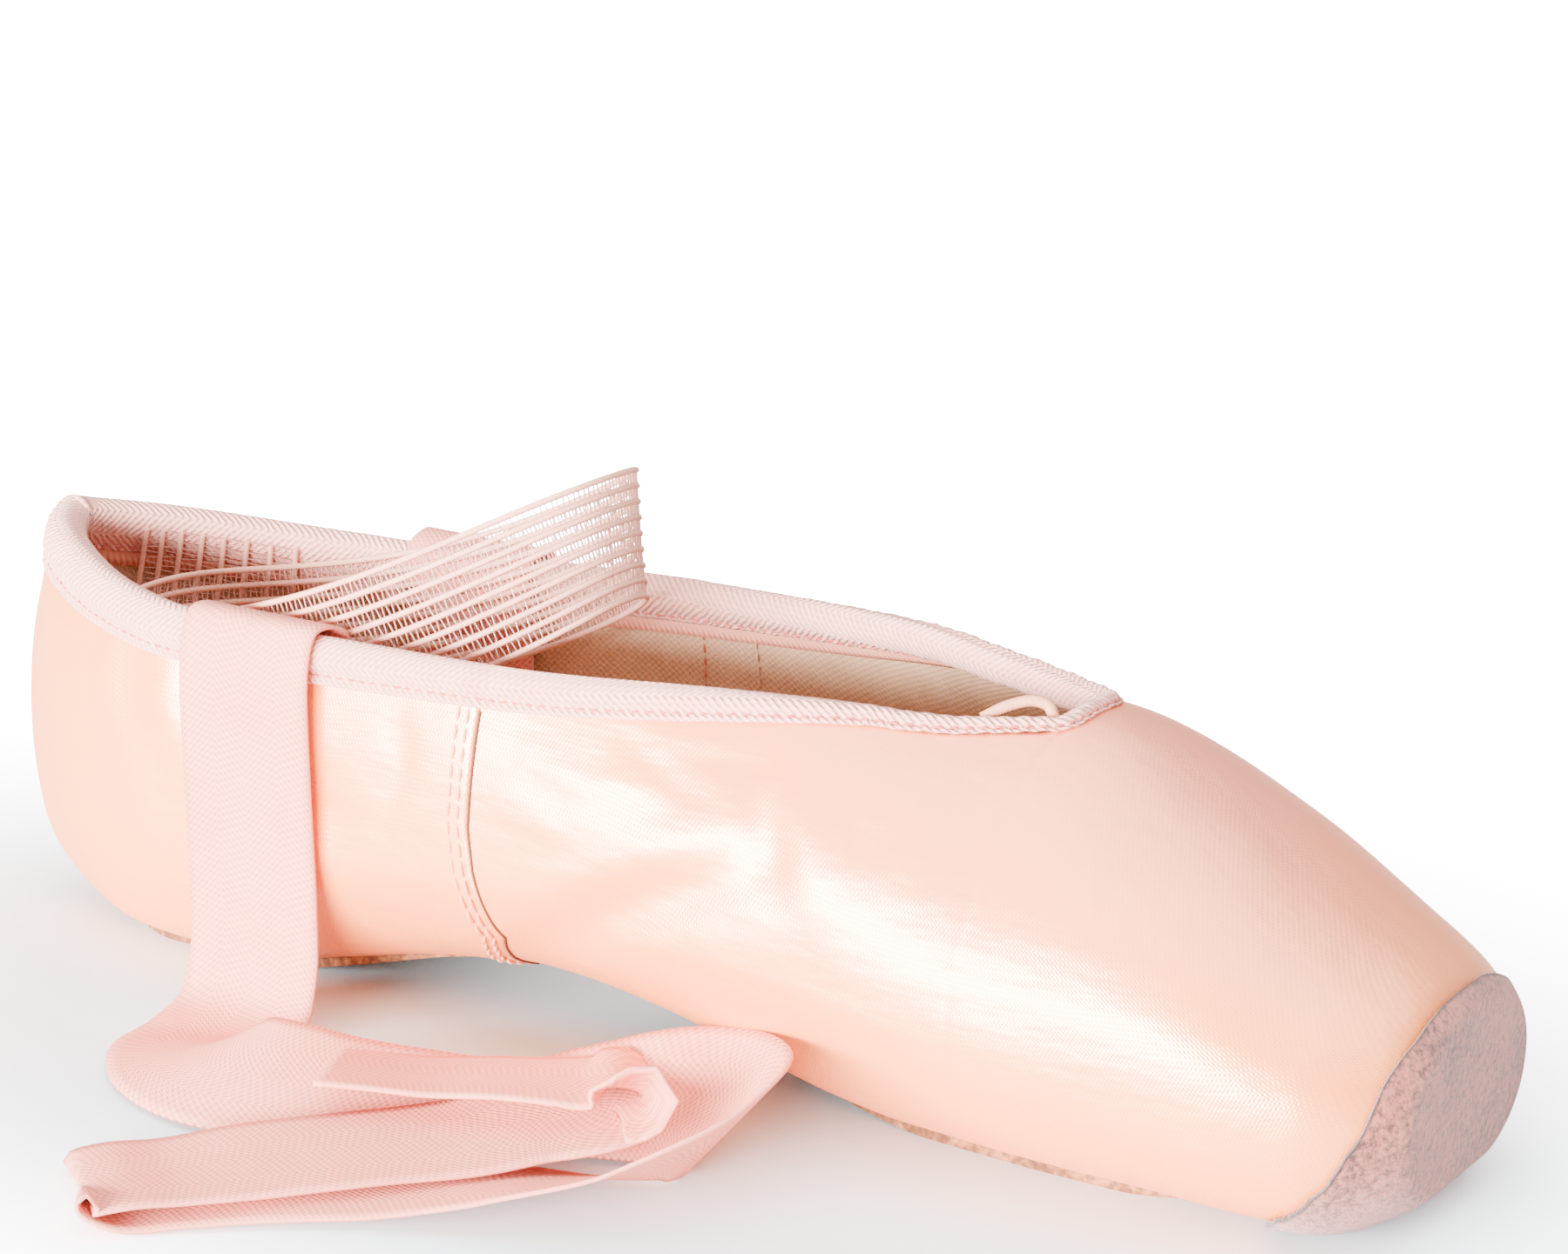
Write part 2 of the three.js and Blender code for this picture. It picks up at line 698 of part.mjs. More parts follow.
const farRibbon = [
  { x: -55, y: 25.3, z: 34.5, bearing: 0, bank: 0 },
  { x: -55.2, y: 24.8, z: 41.5, bearing: 0, bank: 0 },
  { x: -55.3, y: 23.9, z: 48.5, bearing: 0, bank: 0 },
  { x: -55.4, y: 23.1, z: 53, bearing: 0, bank: 0 },
  { x: -55.5, y: 23.5, z: 55.8, bearing: 0, bank: 0 },
  { x: -55.7, y: 26.7, z: 57.4, bearing: 0, bank: 0 },
  { x: -55.9, y: 30.3, z: 57.2, bearing: 0, bank: 0 },
  { x: -55.9, y: 31.9, z: 54.7, bearing: 0, bank: 0 },
  { x: -55.7, y: 32.8, z: 49, bearing: 0, bank: 0 },
  { x: -54.5, y: 33.5, z: 38, bearing: 0, bank: 0 },
  { x: -53.5, y: 33.7, z: 28, bearing: 0, bank: 0 },
  { x: -52.5, y: 33.9, z: 18, bearing: 0, bank: 0 },
  { x: -51.8, y: 34.5, z: 9, bearing: 0, bank: 0 },
  { x: -51.2, y: 37.2, z: 3, bearing: 0, bank: 0 },
  { x: -51, y: 45, z: 1, bearing: -5, bank: 0 },
  { x: -50, y: 56, z: 3, bearing: -20, bank: -8 },
  { x: -43, y: 68, z: 5.5, bearing: -50, bank: -24 },
  { x: -29, y: 73, z: 6.5, bearing: -85, bank: -30 },
  { x: -14, y: 71, z: 4, bearing: -105, bank: -16 },
  { x: 1, y: 66, z: 2.5, bearing: -105, bank: -6 },
  { x: 16, y: 62, z: 3.5, bearing: -100, bank: -10 },
  { x: 31, y: 61, z: 6, bearing: -80, bank: -26 },
  { x: 43, y: 66, z: 8.5, bearing: -45, bank: -44 },
  { x: 46, y: 76, z: 9, bearing: 20, bank: -48 },
  { x: 37, y: 85, z: 7.5, bearing: 60, bank: -36 },
  { x: 23, y: 90, z: 4.5, bearing: 75, bank: -16 },
  { x: 8, y: 93, z: 3, bearing: 75, bank: -6 },
  { x: -7, y: 97, z: 2.5, bearing: 75, bank: 4 },
  { x: -22, y: 102, z: 3.5, bearing: 75, bank: 12 },
  { x: -37, y: 105, z: 4.5, bearing: 90, bank: 20 },
  { x: -52, y: 103, z: 5.5, bearing: 110, bank: 24 },
  { x: -65, y: 96, z: 4, bearing: 120, bank: 16 },
  { x: -77, y: 88, z: 2.5, bearing: 120, bank: 6 },
  { x: -89, y: 82, z: 0.9, bearing: 115, bank: 0 },
];
const nearSteps = 84;
const farSteps = 48;

function ribbon(rows, count) {
  const centres = rows.map((row) => new THREE.Vector3(row.x, row.y, row.z));
  const path = new THREE.CatmullRomCurve3(centres, false, "centripetal");
  const widths = rows.map((row) => {
    const bearing = THREE.MathUtils.degToRad(row.bearing);
    const bank = THREE.MathUtils.degToRad(row.bank);
    const level = Math.cos(bank);
    return new THREE.Vector3(level * Math.cos(bearing), level * Math.sin(bearing), Math.sin(bank));
  });
  const knots = rows.length - 1;
  const steps = [];
  for (let i = 0; i <= count; i += 1) {
    const t = (i / count) * knots;
    const k = Math.min(knots - 1, Math.floor(t));
    const across = widths[k].clone().lerp(widths[k + 1], t - k).normalize();
    steps.push({ centre: path.getPoint(t / knots), across });
  }
  return strip(steps, ribbonWidth, ribbonThickness);
}

// Drawstring: the elastic cord of the collar, out of the binding in a short loop at the throat
const drawstringSpots = [
  { around: 0.85, across: -1.2, up: 2.75 },
  { around: 0.875, across: -1.8, up: 3.5 },
  { around: 0.905, across: -2.2, up: 3.9 },
  { around: 0.935, across: -1.8, up: 3.6 },
  { around: 0.96, across: -1, up: 2.8 },
];

function drawstring() {
  const spots = drawstringSpots.map((spot) =>
    onWall(bindingFrame(spot.around, -1), spot.across, spot.up),
  );
  const path = new THREE.CatmullRomCurve3(spots);
  const steps = 12;
  const sides = 8;
  const up = new THREE.Vector3(0, 0, 1);
  const rings = [];
  for (let i = 0; i <= steps; i += 1) {
    const centre = path.getPoint(i / steps);
    const along = path.getTangent(i / steps);
    const wide = along.clone().cross(up).normalize();
    const high = wide.clone().cross(along).normalize();
    const ring = [];
    for (let j = 0; j < sides; j += 1) {
      const turn = (j / sides) * 2 * Math.PI;
      ring.push(
        centre
          .clone()
          .addScaledVector(wide, (cordDiameter / 2) * Math.cos(turn))
          .addScaledVector(high, (cordDiameter / 2) * Math.sin(turn)),
      );
    }
    rings.push(ring);
  }
  return loft(rings);
}

const root = new THREE.Group();
root.name = "pointe_shoe";

function addPiece(name, geometry, color, roughness) {
  const material = new THREE.MeshStandardMaterial({ color, roughness, metalness: 0 });
  const mesh = new THREE.Mesh(geometry, material);
  mesh.name = name;
  root.add(mesh);
}

addPiece("upper", geometryOf(makeUpper()), 0xf6d3c0, 0.32);
addPiece("outsole", outsole(), 0xcf9c72, 0.85);
addPiece("insole", insole(), 0xe2c9a8, 0.9);
addPiece("toe_suede", toeSuede(), 0xc4a29c, 0.95);
addPiece("collar_binding", binding(), 0xf3cfc6, 0.75);
addPiece("drawstring", drawstring(), 0xe8c4b4, 0.7);
addPiece("elastic_strap", elasticStrap(), 0xe3b79f, 0.6);
addPiece("ribbon_near", ribbon(nearRibbon, nearSteps), 0xf0c8bb, 0.75);
addPiece("ribbon_far", ribbon(farRibbon, farSteps), 0xf0c8bb, 0.75);

export default root;
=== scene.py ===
import math

import bpy
import numpy as np
from mathutils import Euler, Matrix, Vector


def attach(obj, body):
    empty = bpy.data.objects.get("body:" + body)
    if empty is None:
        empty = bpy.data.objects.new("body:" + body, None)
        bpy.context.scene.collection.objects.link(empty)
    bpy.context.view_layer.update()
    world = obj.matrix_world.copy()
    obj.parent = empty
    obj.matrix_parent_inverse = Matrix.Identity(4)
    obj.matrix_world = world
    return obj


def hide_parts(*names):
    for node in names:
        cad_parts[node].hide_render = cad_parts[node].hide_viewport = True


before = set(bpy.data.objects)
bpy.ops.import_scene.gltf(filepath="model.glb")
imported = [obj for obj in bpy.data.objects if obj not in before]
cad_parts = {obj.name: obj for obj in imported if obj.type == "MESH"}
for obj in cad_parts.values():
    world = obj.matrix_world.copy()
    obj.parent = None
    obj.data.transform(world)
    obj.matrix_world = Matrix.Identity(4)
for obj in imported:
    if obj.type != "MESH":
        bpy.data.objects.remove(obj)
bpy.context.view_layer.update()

# The camera. It looks at the shoe's near side from the toe's quarter and a little from above,
# with the long lens of a product photograph.
camera_azimuth = 29.35
camera_elevation = 15.11
camera_roll = 2.68
camera_place = (0.3033, -0.5160, 0.2218)
camera_lens = 100.94

camera_data = bpy.data.cameras.new("camera")
camera_data.lens = camera_lens
camera_data.sensor_width = 36
camera_data.clip_start = 0.05
camera_data.clip_end = 20
camera = bpy.data.objects.new("camera", camera_data)
bpy.context.collection.objects.link(camera)
aim = Euler((math.radians(90 - camera_elevation), 0, math.radians(camera_azimuth))).to_matrix()
roll = Euler((0, 0, math.radians(camera_roll))).to_matrix()
camera.rotation_euler = (aim @ roll).to_euler()
camera.location = camera_place
bpy.context.scene.camera = camera

# Satin upper. One layer of peach satin is stretched over the last: the vamp from the side seams
# to the toe, and the quarters round the heel, which lap over the vamp. Sizes are in millimetres,
# s is the distance from the heel.
mm = 0.001
shoe_origin = 118.75
last_length = 237.0
heel_round, heel_point = 44.0, 1.45
toe_round, toe_taper = 7.0, 0.14
sole_bed = 1.1
lean_by, lean_from, lean_per, lean_reach = 7.5, 32.0, 30.0, 50.0
throat = 180.0
side_seam = 102.0

# s, half width, bottom, widest line, crown, squareness below and above the widest line
last_sections = np.array((
    (0, 28.5, 28, 36, 92, 2.3, 2.1),
    (5, 28.5, 13.4, 32.5, 95, 2.4, 2.0),
    (15, 28.5, 5.5, 30, 95, 2.5, 1.8),
    (34, 28.5, 1.8, 29, 95, 2.8, 1.8),
    (56, 29.8, 1.8, 29, 91, 2.6, 2.1),
    (70, 30.8, 4.4, 29, 85, 2.3, 2.25),
    (85, 32.1, 8, 29, 80.5, 2.2, 2.35),
    (100, 33.4, 10.4, 29, 76.3, 2.2, 2.45),
    (115, 34.5, 10.6, 28.5, 72, 2.15, 2.4),
    (130, 35.3, 8.6, 27.7, 68.2, 2.1, 2.3),
    (145, 36.6, 5, 26.6, 64, 2.1, 2.35),
    (158, 37.6, 2.6, 25.6, 60.6, 2.15, 2.4),
    (168, 38.1, 1.8, 24.6, 59.7, 2.2, 2.2),
    (180, 38.2, 1.8, 23.3, 59, 2.3, 1.95),
    (205, 35.7, 1.8, 20, 48.2, 2.5, 2.3),
    (225, 31, 1.8, 17.4, 37, 2.9, 2.15),
    (237, 23.2, 5, 17, 31, 2.4, 2.0),
))

# Way round the opening from the heel (0) to the throat (1), height of the collar edge
collar_edge = np.array((
    (0, 59.6), (0.15, 57.3), (0.35, 54.2), (0.55, 56.1), (0.72, 58.3),
    (0.82, 57.8), (0.885, 58.1), (0.946, 58.3), (1, 59),
))


def read_table(table, column, where):
    """A smooth reading of one column that never overshoots its rows."""
    x, y = table[:, 0], table[:, column]
    where = np.clip(np.asarray(where, float), x[0], x[-1])
    step = np.diff(x)
    rise = np.diff(y) / step
    slope = np.zeros(len(x))
    slope[0], slope[-1] = rise[0], rise[-1]
    for k in range(1, len(x) - 1):
        if rise[k - 1] * rise[k] > 0:
            a = 2 * step[k] + step[k - 1]
            b = step[k] + 2 * step[k - 1]
            slope[k] = (a + b) / (a / rise[k - 1] + b / rise[k])
    i = np.clip(np.searchsorted(x, where, side="right") - 1, 0, len(x) - 2)
    h = step[i]
    t = (where - x[i]) / h
    u = 1 - t
    kept = u * u * (1 + 2 * t) * y[i] + t * t * (3 - 2 * t) * y[i + 1]
    return kept + h * (t * u * u * slope[i] - t * t * u * slope[i + 1])


def section(s):
    """Half width, widest line, depth below it, rise above it and the two squarenesses."""
    s = np.asarray(s, float)
    half, bottom, widest, crown, below, above = (
        read_table(last_sections, k, s) for k in range(1, 7)
    )
    back = np.clip((heel_round - s) / heel_round, 0, 1)
    heel = (1 - back**heel_point) ** (1 / heel_point)
    front = np.clip((s - last_length + toe_round) / toe_round, 0, 1)
    toe = 1 - toe_taper * (1 - np.sqrt(1 - front**2))
    return half * heel * toe, widest, (widest - bottom) * toe, (crown - widest) * toe, below, above


def on_last(s, angle):
    """Points of the last in millimetres: angle 0 is the far side, pi / 2 the crown."""
    s, angle = np.broadcast_arrays(np.asarray(s, float), np.asarray(angle, float))
    half, widest, depth, rise, below, above = section(s)
    c, d = np.cos(angle), np.sin(angle)
    power = 2 / np.where(d < 0, below, above)
    y = half * np.sign(c) * np.abs(c) ** power
    up = np.abs(d) ** power
    z = np.where(d < 0, widest - depth * np.minimum(1, sole_bed * up), widest + rise * up)
    high = np.clip((z - lean_from) / lean_per, 0, 2)
    lean = lean_by * high * high * np.clip(1 - s / lean_reach, 0, 1)
    return np.stack([s - shoe_origin + lean, y, z], -1)


def off_last(s, angle, out):
    """Points that stand off the last by out millimetres along its normal."""
    s, angle, out = np.broadcast_arrays(*(np.asarray(v, float) for v in (s, angle, out)))
    ds, da = 0.2, 0.02
    along = on_last(np.minimum(s + ds, last_length), angle) - on_last(np.maximum(s - ds, 0), angle)
    around = on_last(s, angle + da) - on_last(s, angle - da)
    normal = np.cross(around, along)
    length = np.linalg.norm(normal, axis=-1, keepdims=True)
    centre = np.stack([s - shoe_origin, 0 * s, section(s)[1]], -1)
    normal = normal / np.maximum(length, 1e-9)
    side = np.sign(np.sum(normal * (on_last(s, angle) - centre), -1, keepdims=True))
    normal = normal * np.where(side == 0, 1, side)
    high = np.clip((on_last(s, angle)[..., 2:] - lean_from) / lean_per, 0, 2)
    heel = np.concatenate([-np.ones_like(high), 0 * high, 2 * lean_by * high / lean_per], -1)
    heel = heel / np.linalg.norm(heel, axis=-1, keepdims=True)
    normal = np.where((s[..., None] <= 0.02) | (length < 1e-5), heel, normal)
    return on_last(s, angle) + normal * out[..., None]


def edge_angle(s):
    """The angle of the collar edge at a station: pi / 2, the crown, in front of the throat."""
    s = np.asarray(s, float)
    way = np.arccos(np.clip(1 - 2 * s / throat, -1, 1)) / math.pi
    half, widest, depth, rise, below, above = section(s)
    height = np.minimum(read_table(collar_edge, 1, way), widest + rise)
    up = np.clip((height - widest) / rise, 0, 1)
    angle = np.arcsin(np.clip(up ** (above / 2), 0, 1))
    return np.where(s >= throat, math.pi / 2, angle)


def even_angles(s, low, high, count, dense=360):
    """Angles from low to high that cut each section's girth evenly, and the girth in mm, from
    the middle of the sole."""
    t = np.linspace(0, 1, dense)
    angle = low[:, None] + (high - low)[:, None] * t
    steps = np.linalg.norm(np.diff(on_last(s[:, None], angle), axis=1), axis=-1)
    girth = np.concatenate([np.zeros((len(s), 1)), np.cumsum(steps, 1)], 1)
    even = np.empty((len(s), count))
    length = np.empty((len(s), count))
    for i in range(len(s)):
        length[i] = np.linspace(0, girth[i, -1], count)
        even[i] = np.interp(length[i], girth[i], angle[i])
        length[i] -= np.interp(1.5 * math.pi, angle[i], girth[i])
    return even, length


def grid_piece(name, points, uv, weld=False):
    """A grid primitive whose vertices are moved to rows of points, in millimetres. Its edges are
    welded where they meet."""
    rows, columns = points.shape[:2]
    bpy.ops.object.select_all(action="DESELECT")
    bpy.ops.mesh.primitive_grid_add(x_subdivisions=rows - 1, y_subdivisions=columns - 1, size=1)
    piece = bpy.context.object
    piece.name = piece.data.name = name
    mesh = piece.data
    flat = np.empty(len(mesh.vertices) * 3)
    mesh.vertices.foreach_get("co", flat)
    flat = flat.reshape(-1, 3)
    i = np.rint((flat[:, 0] + 0.5) * (rows - 1)).astype(int)
    j = np.rint((flat[:, 1] + 0.5) * (columns - 1)).astype(int)
    mesh.vertices.foreach_set("co", (points[i, j] * mm).ravel())
    corner = np.empty(len(mesh.loops), int)
    mesh.loops.foreach_get("vertex_index", corner)
    mesh.uv_layers.active.data.foreach_set("uv", (uv[i, j][corner] * mm).ravel())
    mesh.update()
    if weld:
        bpy.ops.object.mode_set(mode="EDIT")
        bpy.ops.mesh.select_all(action="SELECT")
        bpy.ops.mesh.remove_doubles(threshold=2e-6)
        bpy.ops.mesh.normals_make_consistent(inside=False)
        bpy.ops.object.mode_set(mode="OBJECT")
    bpy.ops.object.shade_smooth()
    return piece


def face_outwards(piece, inside_out=False):
    """Turns an open shell's faces away from the shoe's middle, or towards it."""
    mesh = piece.data
    turned = 0
    for face in mesh.polygons:
        middle = Vector((face.center.x, 0, 0.026))
        turned += face.area * face.normal.dot(face.center - middle)
    if (turned < 0) != inside_out:
        bpy.ops.object.mode_set(mode="EDIT")
        bpy.ops.mesh.select_all(action="SELECT")
        bpy.ops.mesh.flip_normals()
        bpy.ops.object.mode_set(mode="OBJECT")


def apply(piece, kind, **values):
    modifier = piece.modifiers.new(kind.lower(), kind)
    for key, value in values.items():
        setattr(modifier, key, value)
    bpy.context.view_layer.objects.active = piece
    bpy.ops.object.modifier_apply(modifier=modifier.name)


# Side, s and height along each crease, its depth (a ridge is negative) and its half width
creases = (
    (-1, ((106, 14.5), (112, 18.5), (120, 24), (132, 31), (148, 39)), 1.5, 4.6),
    (-1, ((116, 29), (128, 35.5), (142, 41.5)), -0.7, 4.2),
    (-1, ((143, 53), (148, 47), (151, 42), (153, 37)), 0.9, 3.4),
    (-1, ((150, 50), (156, 43), (160, 37)), -0.5, 4.0),
    (-1, ((133, 51), (140, 51), (147, 52)), 0.35, 1.6),
    (-1, ((112, 47), (121, 45), (131, 46)), -0.45, 2.6),
    (-1, ((124, 52), (133, 48), (141, 46)), 0.4, 2.2),
    (-1, ((158, 50), (164, 45), (168, 46)), 0.3, 1.8),
    (-1, ((108, 40), (117, 38), (128, 41)), -0.4, 3.0),
    (-1, ((47, 50), (47, 42), (51, 34)), -0.9, 4.0),
    (-1, ((39, 49), (40, 41), (43, 33)), 0.4, 3.2),
    (-1, ((54, 48), (58, 40), (64, 33)), 0.5, 3.6),
    (-1, ((62, 31), (70, 26), (77, 20)), -0.6, 5.0),
    (-1, ((68, 39), (76, 33), (84, 27)), 0.4, 4.4),
    (-1, ((89, 48), (90, 42), (87, 33)), 0.5, 2.8),
    (-1, ((33, 49), (33, 42), (35, 36)), -0.6, 2.4),
    (1, ((106, 15), (113, 20), (124, 27), (140, 34)), 1.4, 4.8),
    (1, ((138, 52), (144, 45), (148, 38)), 0.8, 3.8),
    (1, ((44, 50), (46, 41), (52, 33)), -0.6, 4.4),
    (1, ((60, 47), (66, 38), (72, 30)), 0.5, 4.4),
    (1, ((86, 48), (84, 40), (86, 31)), 0.5, 3.2),
)


def crease_depth(points):
    """How far the satin sinks at points of the last, from the listed creases."""
    s = points[..., 0] + shoe_origin
    depth = np.zeros(s.shape)
    for side, line, deep, wide in creases:
        way = np.array(line, float)
        near = np.full(s.shape, 1e9)
        ends = np.zeros(s.shape)
        for k in range(len(way) - 1):
            a, b = way[k], way[k + 1]
            d = b - a
            t = ((s - a[0]) * d[0] + (points[..., 2] - a[1]) * d[1]) / (d @ d)
            held = np.clip(t, 0, 1)
            away = np.hypot(s - a[0] - held * d[0], points[..., 2] - a[1] - held * d[1])
            closer = away < near
            near = np.where(closer, away, near)
            ends = np.where(closer, (k + held) / (len(way) - 1), ends)
        fade = np.sin(math.pi * np.clip(0.12 + 0.76 * ends, 0, 1)) ** 0.8
        depth += np.where(points[..., 1] * side > 0, deep * fade * np.exp(-((near / wide) ** 2)), 0)
    return depth


pleat_count = 26
pleat_depth = 0.45


def pleats(s, angle):
    """The gathers where the satin is lasted under the toe and in front of the sole."""
    under = np.clip((-np.sin(angle) - 0.72) / 0.2, 0, 1)
    toe = np.clip((s - 196) / 14, 0, 1)
    fan = np.arctan2(np.cos(angle), 0.35 + 0 * s)
    return pleat_depth * under * toe * (0.5 + 0.5 * np.cos(pleat_count * fan))


# The front edge of the quarters bows forward low on the side: heights and how far
seam_heights = (0, 12.9, 18.6, 23, 29, 35, 49)
seam_bow = (0.4, 1.3, 4.4, 3.3, 1.3, 0.2, 0.2)
satin_thickness = 0.55


def satin_shell(name, stations, edge_drop, columns, out, bow=0):
    low = math.pi - edge_angle(stations) + edge_drop
    high = 2 * math.pi + edge_angle(stations) - edge_drop
    angle, girth = even_angles(stations, low, high, columns)
    s = np.repeat(stations[:, None], columns, 1)
    height = on_last(s, angle)[..., 2]
    s = s + bow * np.interp(height, seam_heights, seam_bow) * np.clip(s / side_seam - 0.8, 0, 1) * 5
    flat = on_last(s, angle)
    sunk = out(s, angle) - crease_depth(flat) - pleats(s, angle)
    points = off_last(s, angle, sunk)
    piece = grid_piece(name, points, np.stack([s, girth], -1), weld=True)
    face_outwards(piece)
    return piece


vamp_rows = 128
tip_rows = 8
vamp_columns = 150
vamp_from = side_seam - 3
body_end = last_length - toe_round
vamp_stations = np.concatenate([
    np.linspace(vamp_from, body_end, vamp_rows),
    body_end + toe_round * np.sin(np.linspace(0, math.pi / 2, tip_rows)[1:]),
])
edge_under_tape = np.where(vamp_stations < throat, 0.05, 0)


def under_suede(s, angle):
    return -1.2 * np.clip((s - last_length + 2.2) / 2, 0, 1)


vamp = satin_shell("satin_vamp", vamp_stations, edge_under_tape, vamp_columns, under_suede)

quarter_rows = 84
heel_rows = 26
quarter_columns = 132
lap_from, lap_full, lap_height = -0.93, -0.82, 0.5
quarter_stations = np.concatenate([
    heel_round * (1 - np.cos(np.linspace(0, math.pi / 2, heel_rows))),
    np.linspace(heel_round, side_seam, quarter_rows)[1:],
])


def lap(s, angle):
    full = np.clip((np.sin(angle) - lap_from) / (lap_full - lap_from), 0, 1)
    fold = 1 - np.clip((s - side_seam + 1.2) / 1.2, 0, 1) ** 3 * 0.5
    back_seam = 0.35 * np.exp(-((s / 0.9) ** 2))
    return lap_height * full * fold - back_seam


quarters = satin_shell("satin_quarters", quarter_stations, 0.05, quarter_columns, lap, bow=1)
# The satin is eased over the back of the heel, below the tape
heel_eased, tape_foot = 9.0, 50.0
bpy.ops.object.mode_set(mode="EDIT")
bpy.ops.mesh.select_all(action="DESELECT")
bpy.ops.object.mode_set(mode="OBJECT")
for vertex in quarters.data.vertices:
    vertex.select = vertex.co.x < (heel_eased - shoe_origin) * mm and vertex.co.z < tape_foot * mm
bpy.ops.object.mode_set(mode="EDIT")
bpy.ops.mesh.vertices_smooth(factor=0.5, repeat=12)
bpy.ops.object.mode_set(mode="OBJECT")
for shell in (vamp, quarters):
    apply(shell, "SOLIDIFY", thickness=satin_thickness * mm, offset=-1, use_rim=True)
    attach(shell, "root")
    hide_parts("upper")


def group_socket(group, name, kind, value=None, into=True):
    socket = group.interface.new_socket(
        name=name, in_out="INPUT" if into else "OUTPUT", socket_type=kind
    )
    if value is not None:
        socket.default_value = value
    return socket


class Nodes:
    """Short calls for the nodes of one tree."""

    def __init__(self, tree):
        self.tree = tree

    def add(self, kind, inputs=(), **values):
        node = self.tree.nodes.new(kind)
        for key, value in values.items():
            setattr(node, key, value)
        for key, value in dict(inputs).items():
            if isinstance(value, bpy.types.NodeSocket):
                self.tree.links.new(value, node.inputs[key])
            else:
                node.inputs[key].default_value = value
        return node

    def math(self, operation, a, b=0.0, c=0.0):
        node = self.add("ShaderNodeMath", {0: a, 1: b, 2: c}, operation=operation)
        return node.outputs[0]

    def mix(self, factor, a, b):
        node = self.add("ShaderNodeMix", {0: factor, 6: a, 7: b}, data_type="RGBA")
        return node.outputs[2]


# Woven threads as a height from 0 to 1. Pitches are in mm; Diagonal turns a plain weave into the
# ribs of a twill, and Stripe is the width after which the ribs turn back, as in herringbone.
weave_group = bpy.data.node_groups.new("woven_threads", "ShaderNodeTree")
group_socket(weave_group, "Vector", "NodeSocketVector")
group_socket(weave_group, "Pitch Along", "NodeSocketFloat", 0.5)
group_socket(weave_group, "Pitch Across", "NodeSocketFloat", 0.5)
group_socket(weave_group, "Slant", "NodeSocketFloat", 0.0)
group_socket(weave_group, "Diagonal", "NodeSocketFloat", 0.0)
group_socket(weave_group, "Stripe", "NodeSocketFloat", 1000.0)
group_socket(weave_group, "Unevenness", "NodeSocketFloat", 0.2)
group_socket(weave_group, "Height", "NodeSocketFloat", into=False)
n = Nodes(weave_group)
taken = n.add("NodeGroupInput")
given = n.add("NodeGroupOutput")
split = n.add("ShaderNodeSeparateXYZ", {0: taken.outputs["Vector"]})
x_mm = n.math("MULTIPLY", split.outputs["X"], 1 / mm)
y_mm = n.math("MULTIPLY", split.outputs["Y"], 1 / mm)
wander = n.add("ShaderNodeTexNoise", {"Vector": taken.outputs["Vector"], "Scale": 700.0, "Detail": 1.0})
drift = n.math("MULTIPLY", n.math("SUBTRACT", wander.outputs["Fac"], 0.5), taken.outputs["Unevenness"])
drift = n.math("MULTIPLY", drift, 2 * math.pi)
turned_back = n.math("PINGPONG", y_mm, taken.outputs["Stripe"])
slanted = n.math("MULTIPLY_ADD", turned_back, taken.outputs["Slant"], x_mm)
along = n.math("DIVIDE", n.math("MULTIPLY", slanted, 2 * math.pi), taken.outputs["Pitch Along"])
across = n.math("DIVIDE", n.math("MULTIPLY", y_mm, 2 * math.pi), taken.outputs["Pitch Across"])
ribs = n.math("SINE", n.math("ADD", along, drift))
wefts = n.math("SINE", n.math("ADD", across, drift))
crossed = n.math("MULTIPLY", ribs, wefts)
twilled = n.math("MULTIPLY_ADD", crossed, 0.25, n.math("MULTIPLY", ribs, 0.75))
kind = n.add("ShaderNodeMix", {0: taken.outputs["Diagonal"], 2: crossed, 3: twilled}, data_type="FLOAT")
weave_group.links.new(n.math("MULTIPLY_ADD", kind.outputs[0], 0.5, 0.5), given.inputs["Height"])


def finish(name, roughness, slots=(), **shader):
    """A material with a Principled shader and its nodes."""
    material = bpy.data.materials.new(name)
    material.use_nodes = True
    tools = Nodes(material.node_tree)
    principled = material.node_tree.nodes["Principled BSDF"]
    principled.inputs["Roughness"].default_value = roughness
    for key, value in shader.items():
        principled.inputs[key.replace("_", " ")].default_value = value
    for piece in slots:
        piece.data.materials.clear()
        piece.data.materials.append(material)
    return tools, principled


def woven(tools, along, across, slant=0.0, diagonal=0.0, stripe=1000.0, uneven=0.2):
    uv = tools.add("ShaderNodeUVMap", uv_map="UVMap")
    node = tools.add("ShaderNodeGroup", node_tree=weave_group)
    tools.tree.links.new(uv.outputs["UV"], node.inputs["Vector"])
    sizes = {
        "Pitch Along": along, "Pitch Across": across, "Slant": slant, "Diagonal": diagonal,
        "Stripe": stripe, "Unevenness": uneven,
    }
    for name, value in sizes.items():
        node.inputs[name].default_value = value
    return node.outputs["Height"]


# Peach is the satin's own colour; the more pink second colour is painted light, for the top of the forepart
# under the cooler light from above.
satin_peach = (0.94, 0.25, 0.060, 1)
satin_top_painted_light = (0.92, 0.225, 0.125, 1)
tools, shader = finish("satin", 0.36, (vamp, quarters))
shader.inputs["Specular IOR Level"].default_value = 1.0
shader.inputs["IOR"].default_value = 2.0
shader.inputs["Specular Tint"].default_value = (1.0, 0.80, 0.58, 1)
place = tools.add("ShaderNodeTexCoord").outputs["Object"]
heights = tools.add("ShaderNodeSeparateXYZ", {0: place})
top = tools.add("ShaderNodeMapRange", {0: heights.outputs["Z"], 1: 0.028, 2: 0.05}).outputs[0]
front = tools.add("ShaderNodeMapRange", {0: heights.outputs["X"], 1: 0.0, 2: 0.06}).outputs[0]
cloudy = tools.add("ShaderNodeTexNoise", {"Vector": place, "Scale": 45.0, "Detail": 3.0}).outputs["Fac"]
# The top of the forepart is painted more pink and less saturated than the sides: painted light, standing in
# for the cooler light that falls from above.
painted_top_light = tools.math("MULTIPLY", tools.math("MULTIPLY", top, front), tools.math("ADD", cloudy, 0.4))
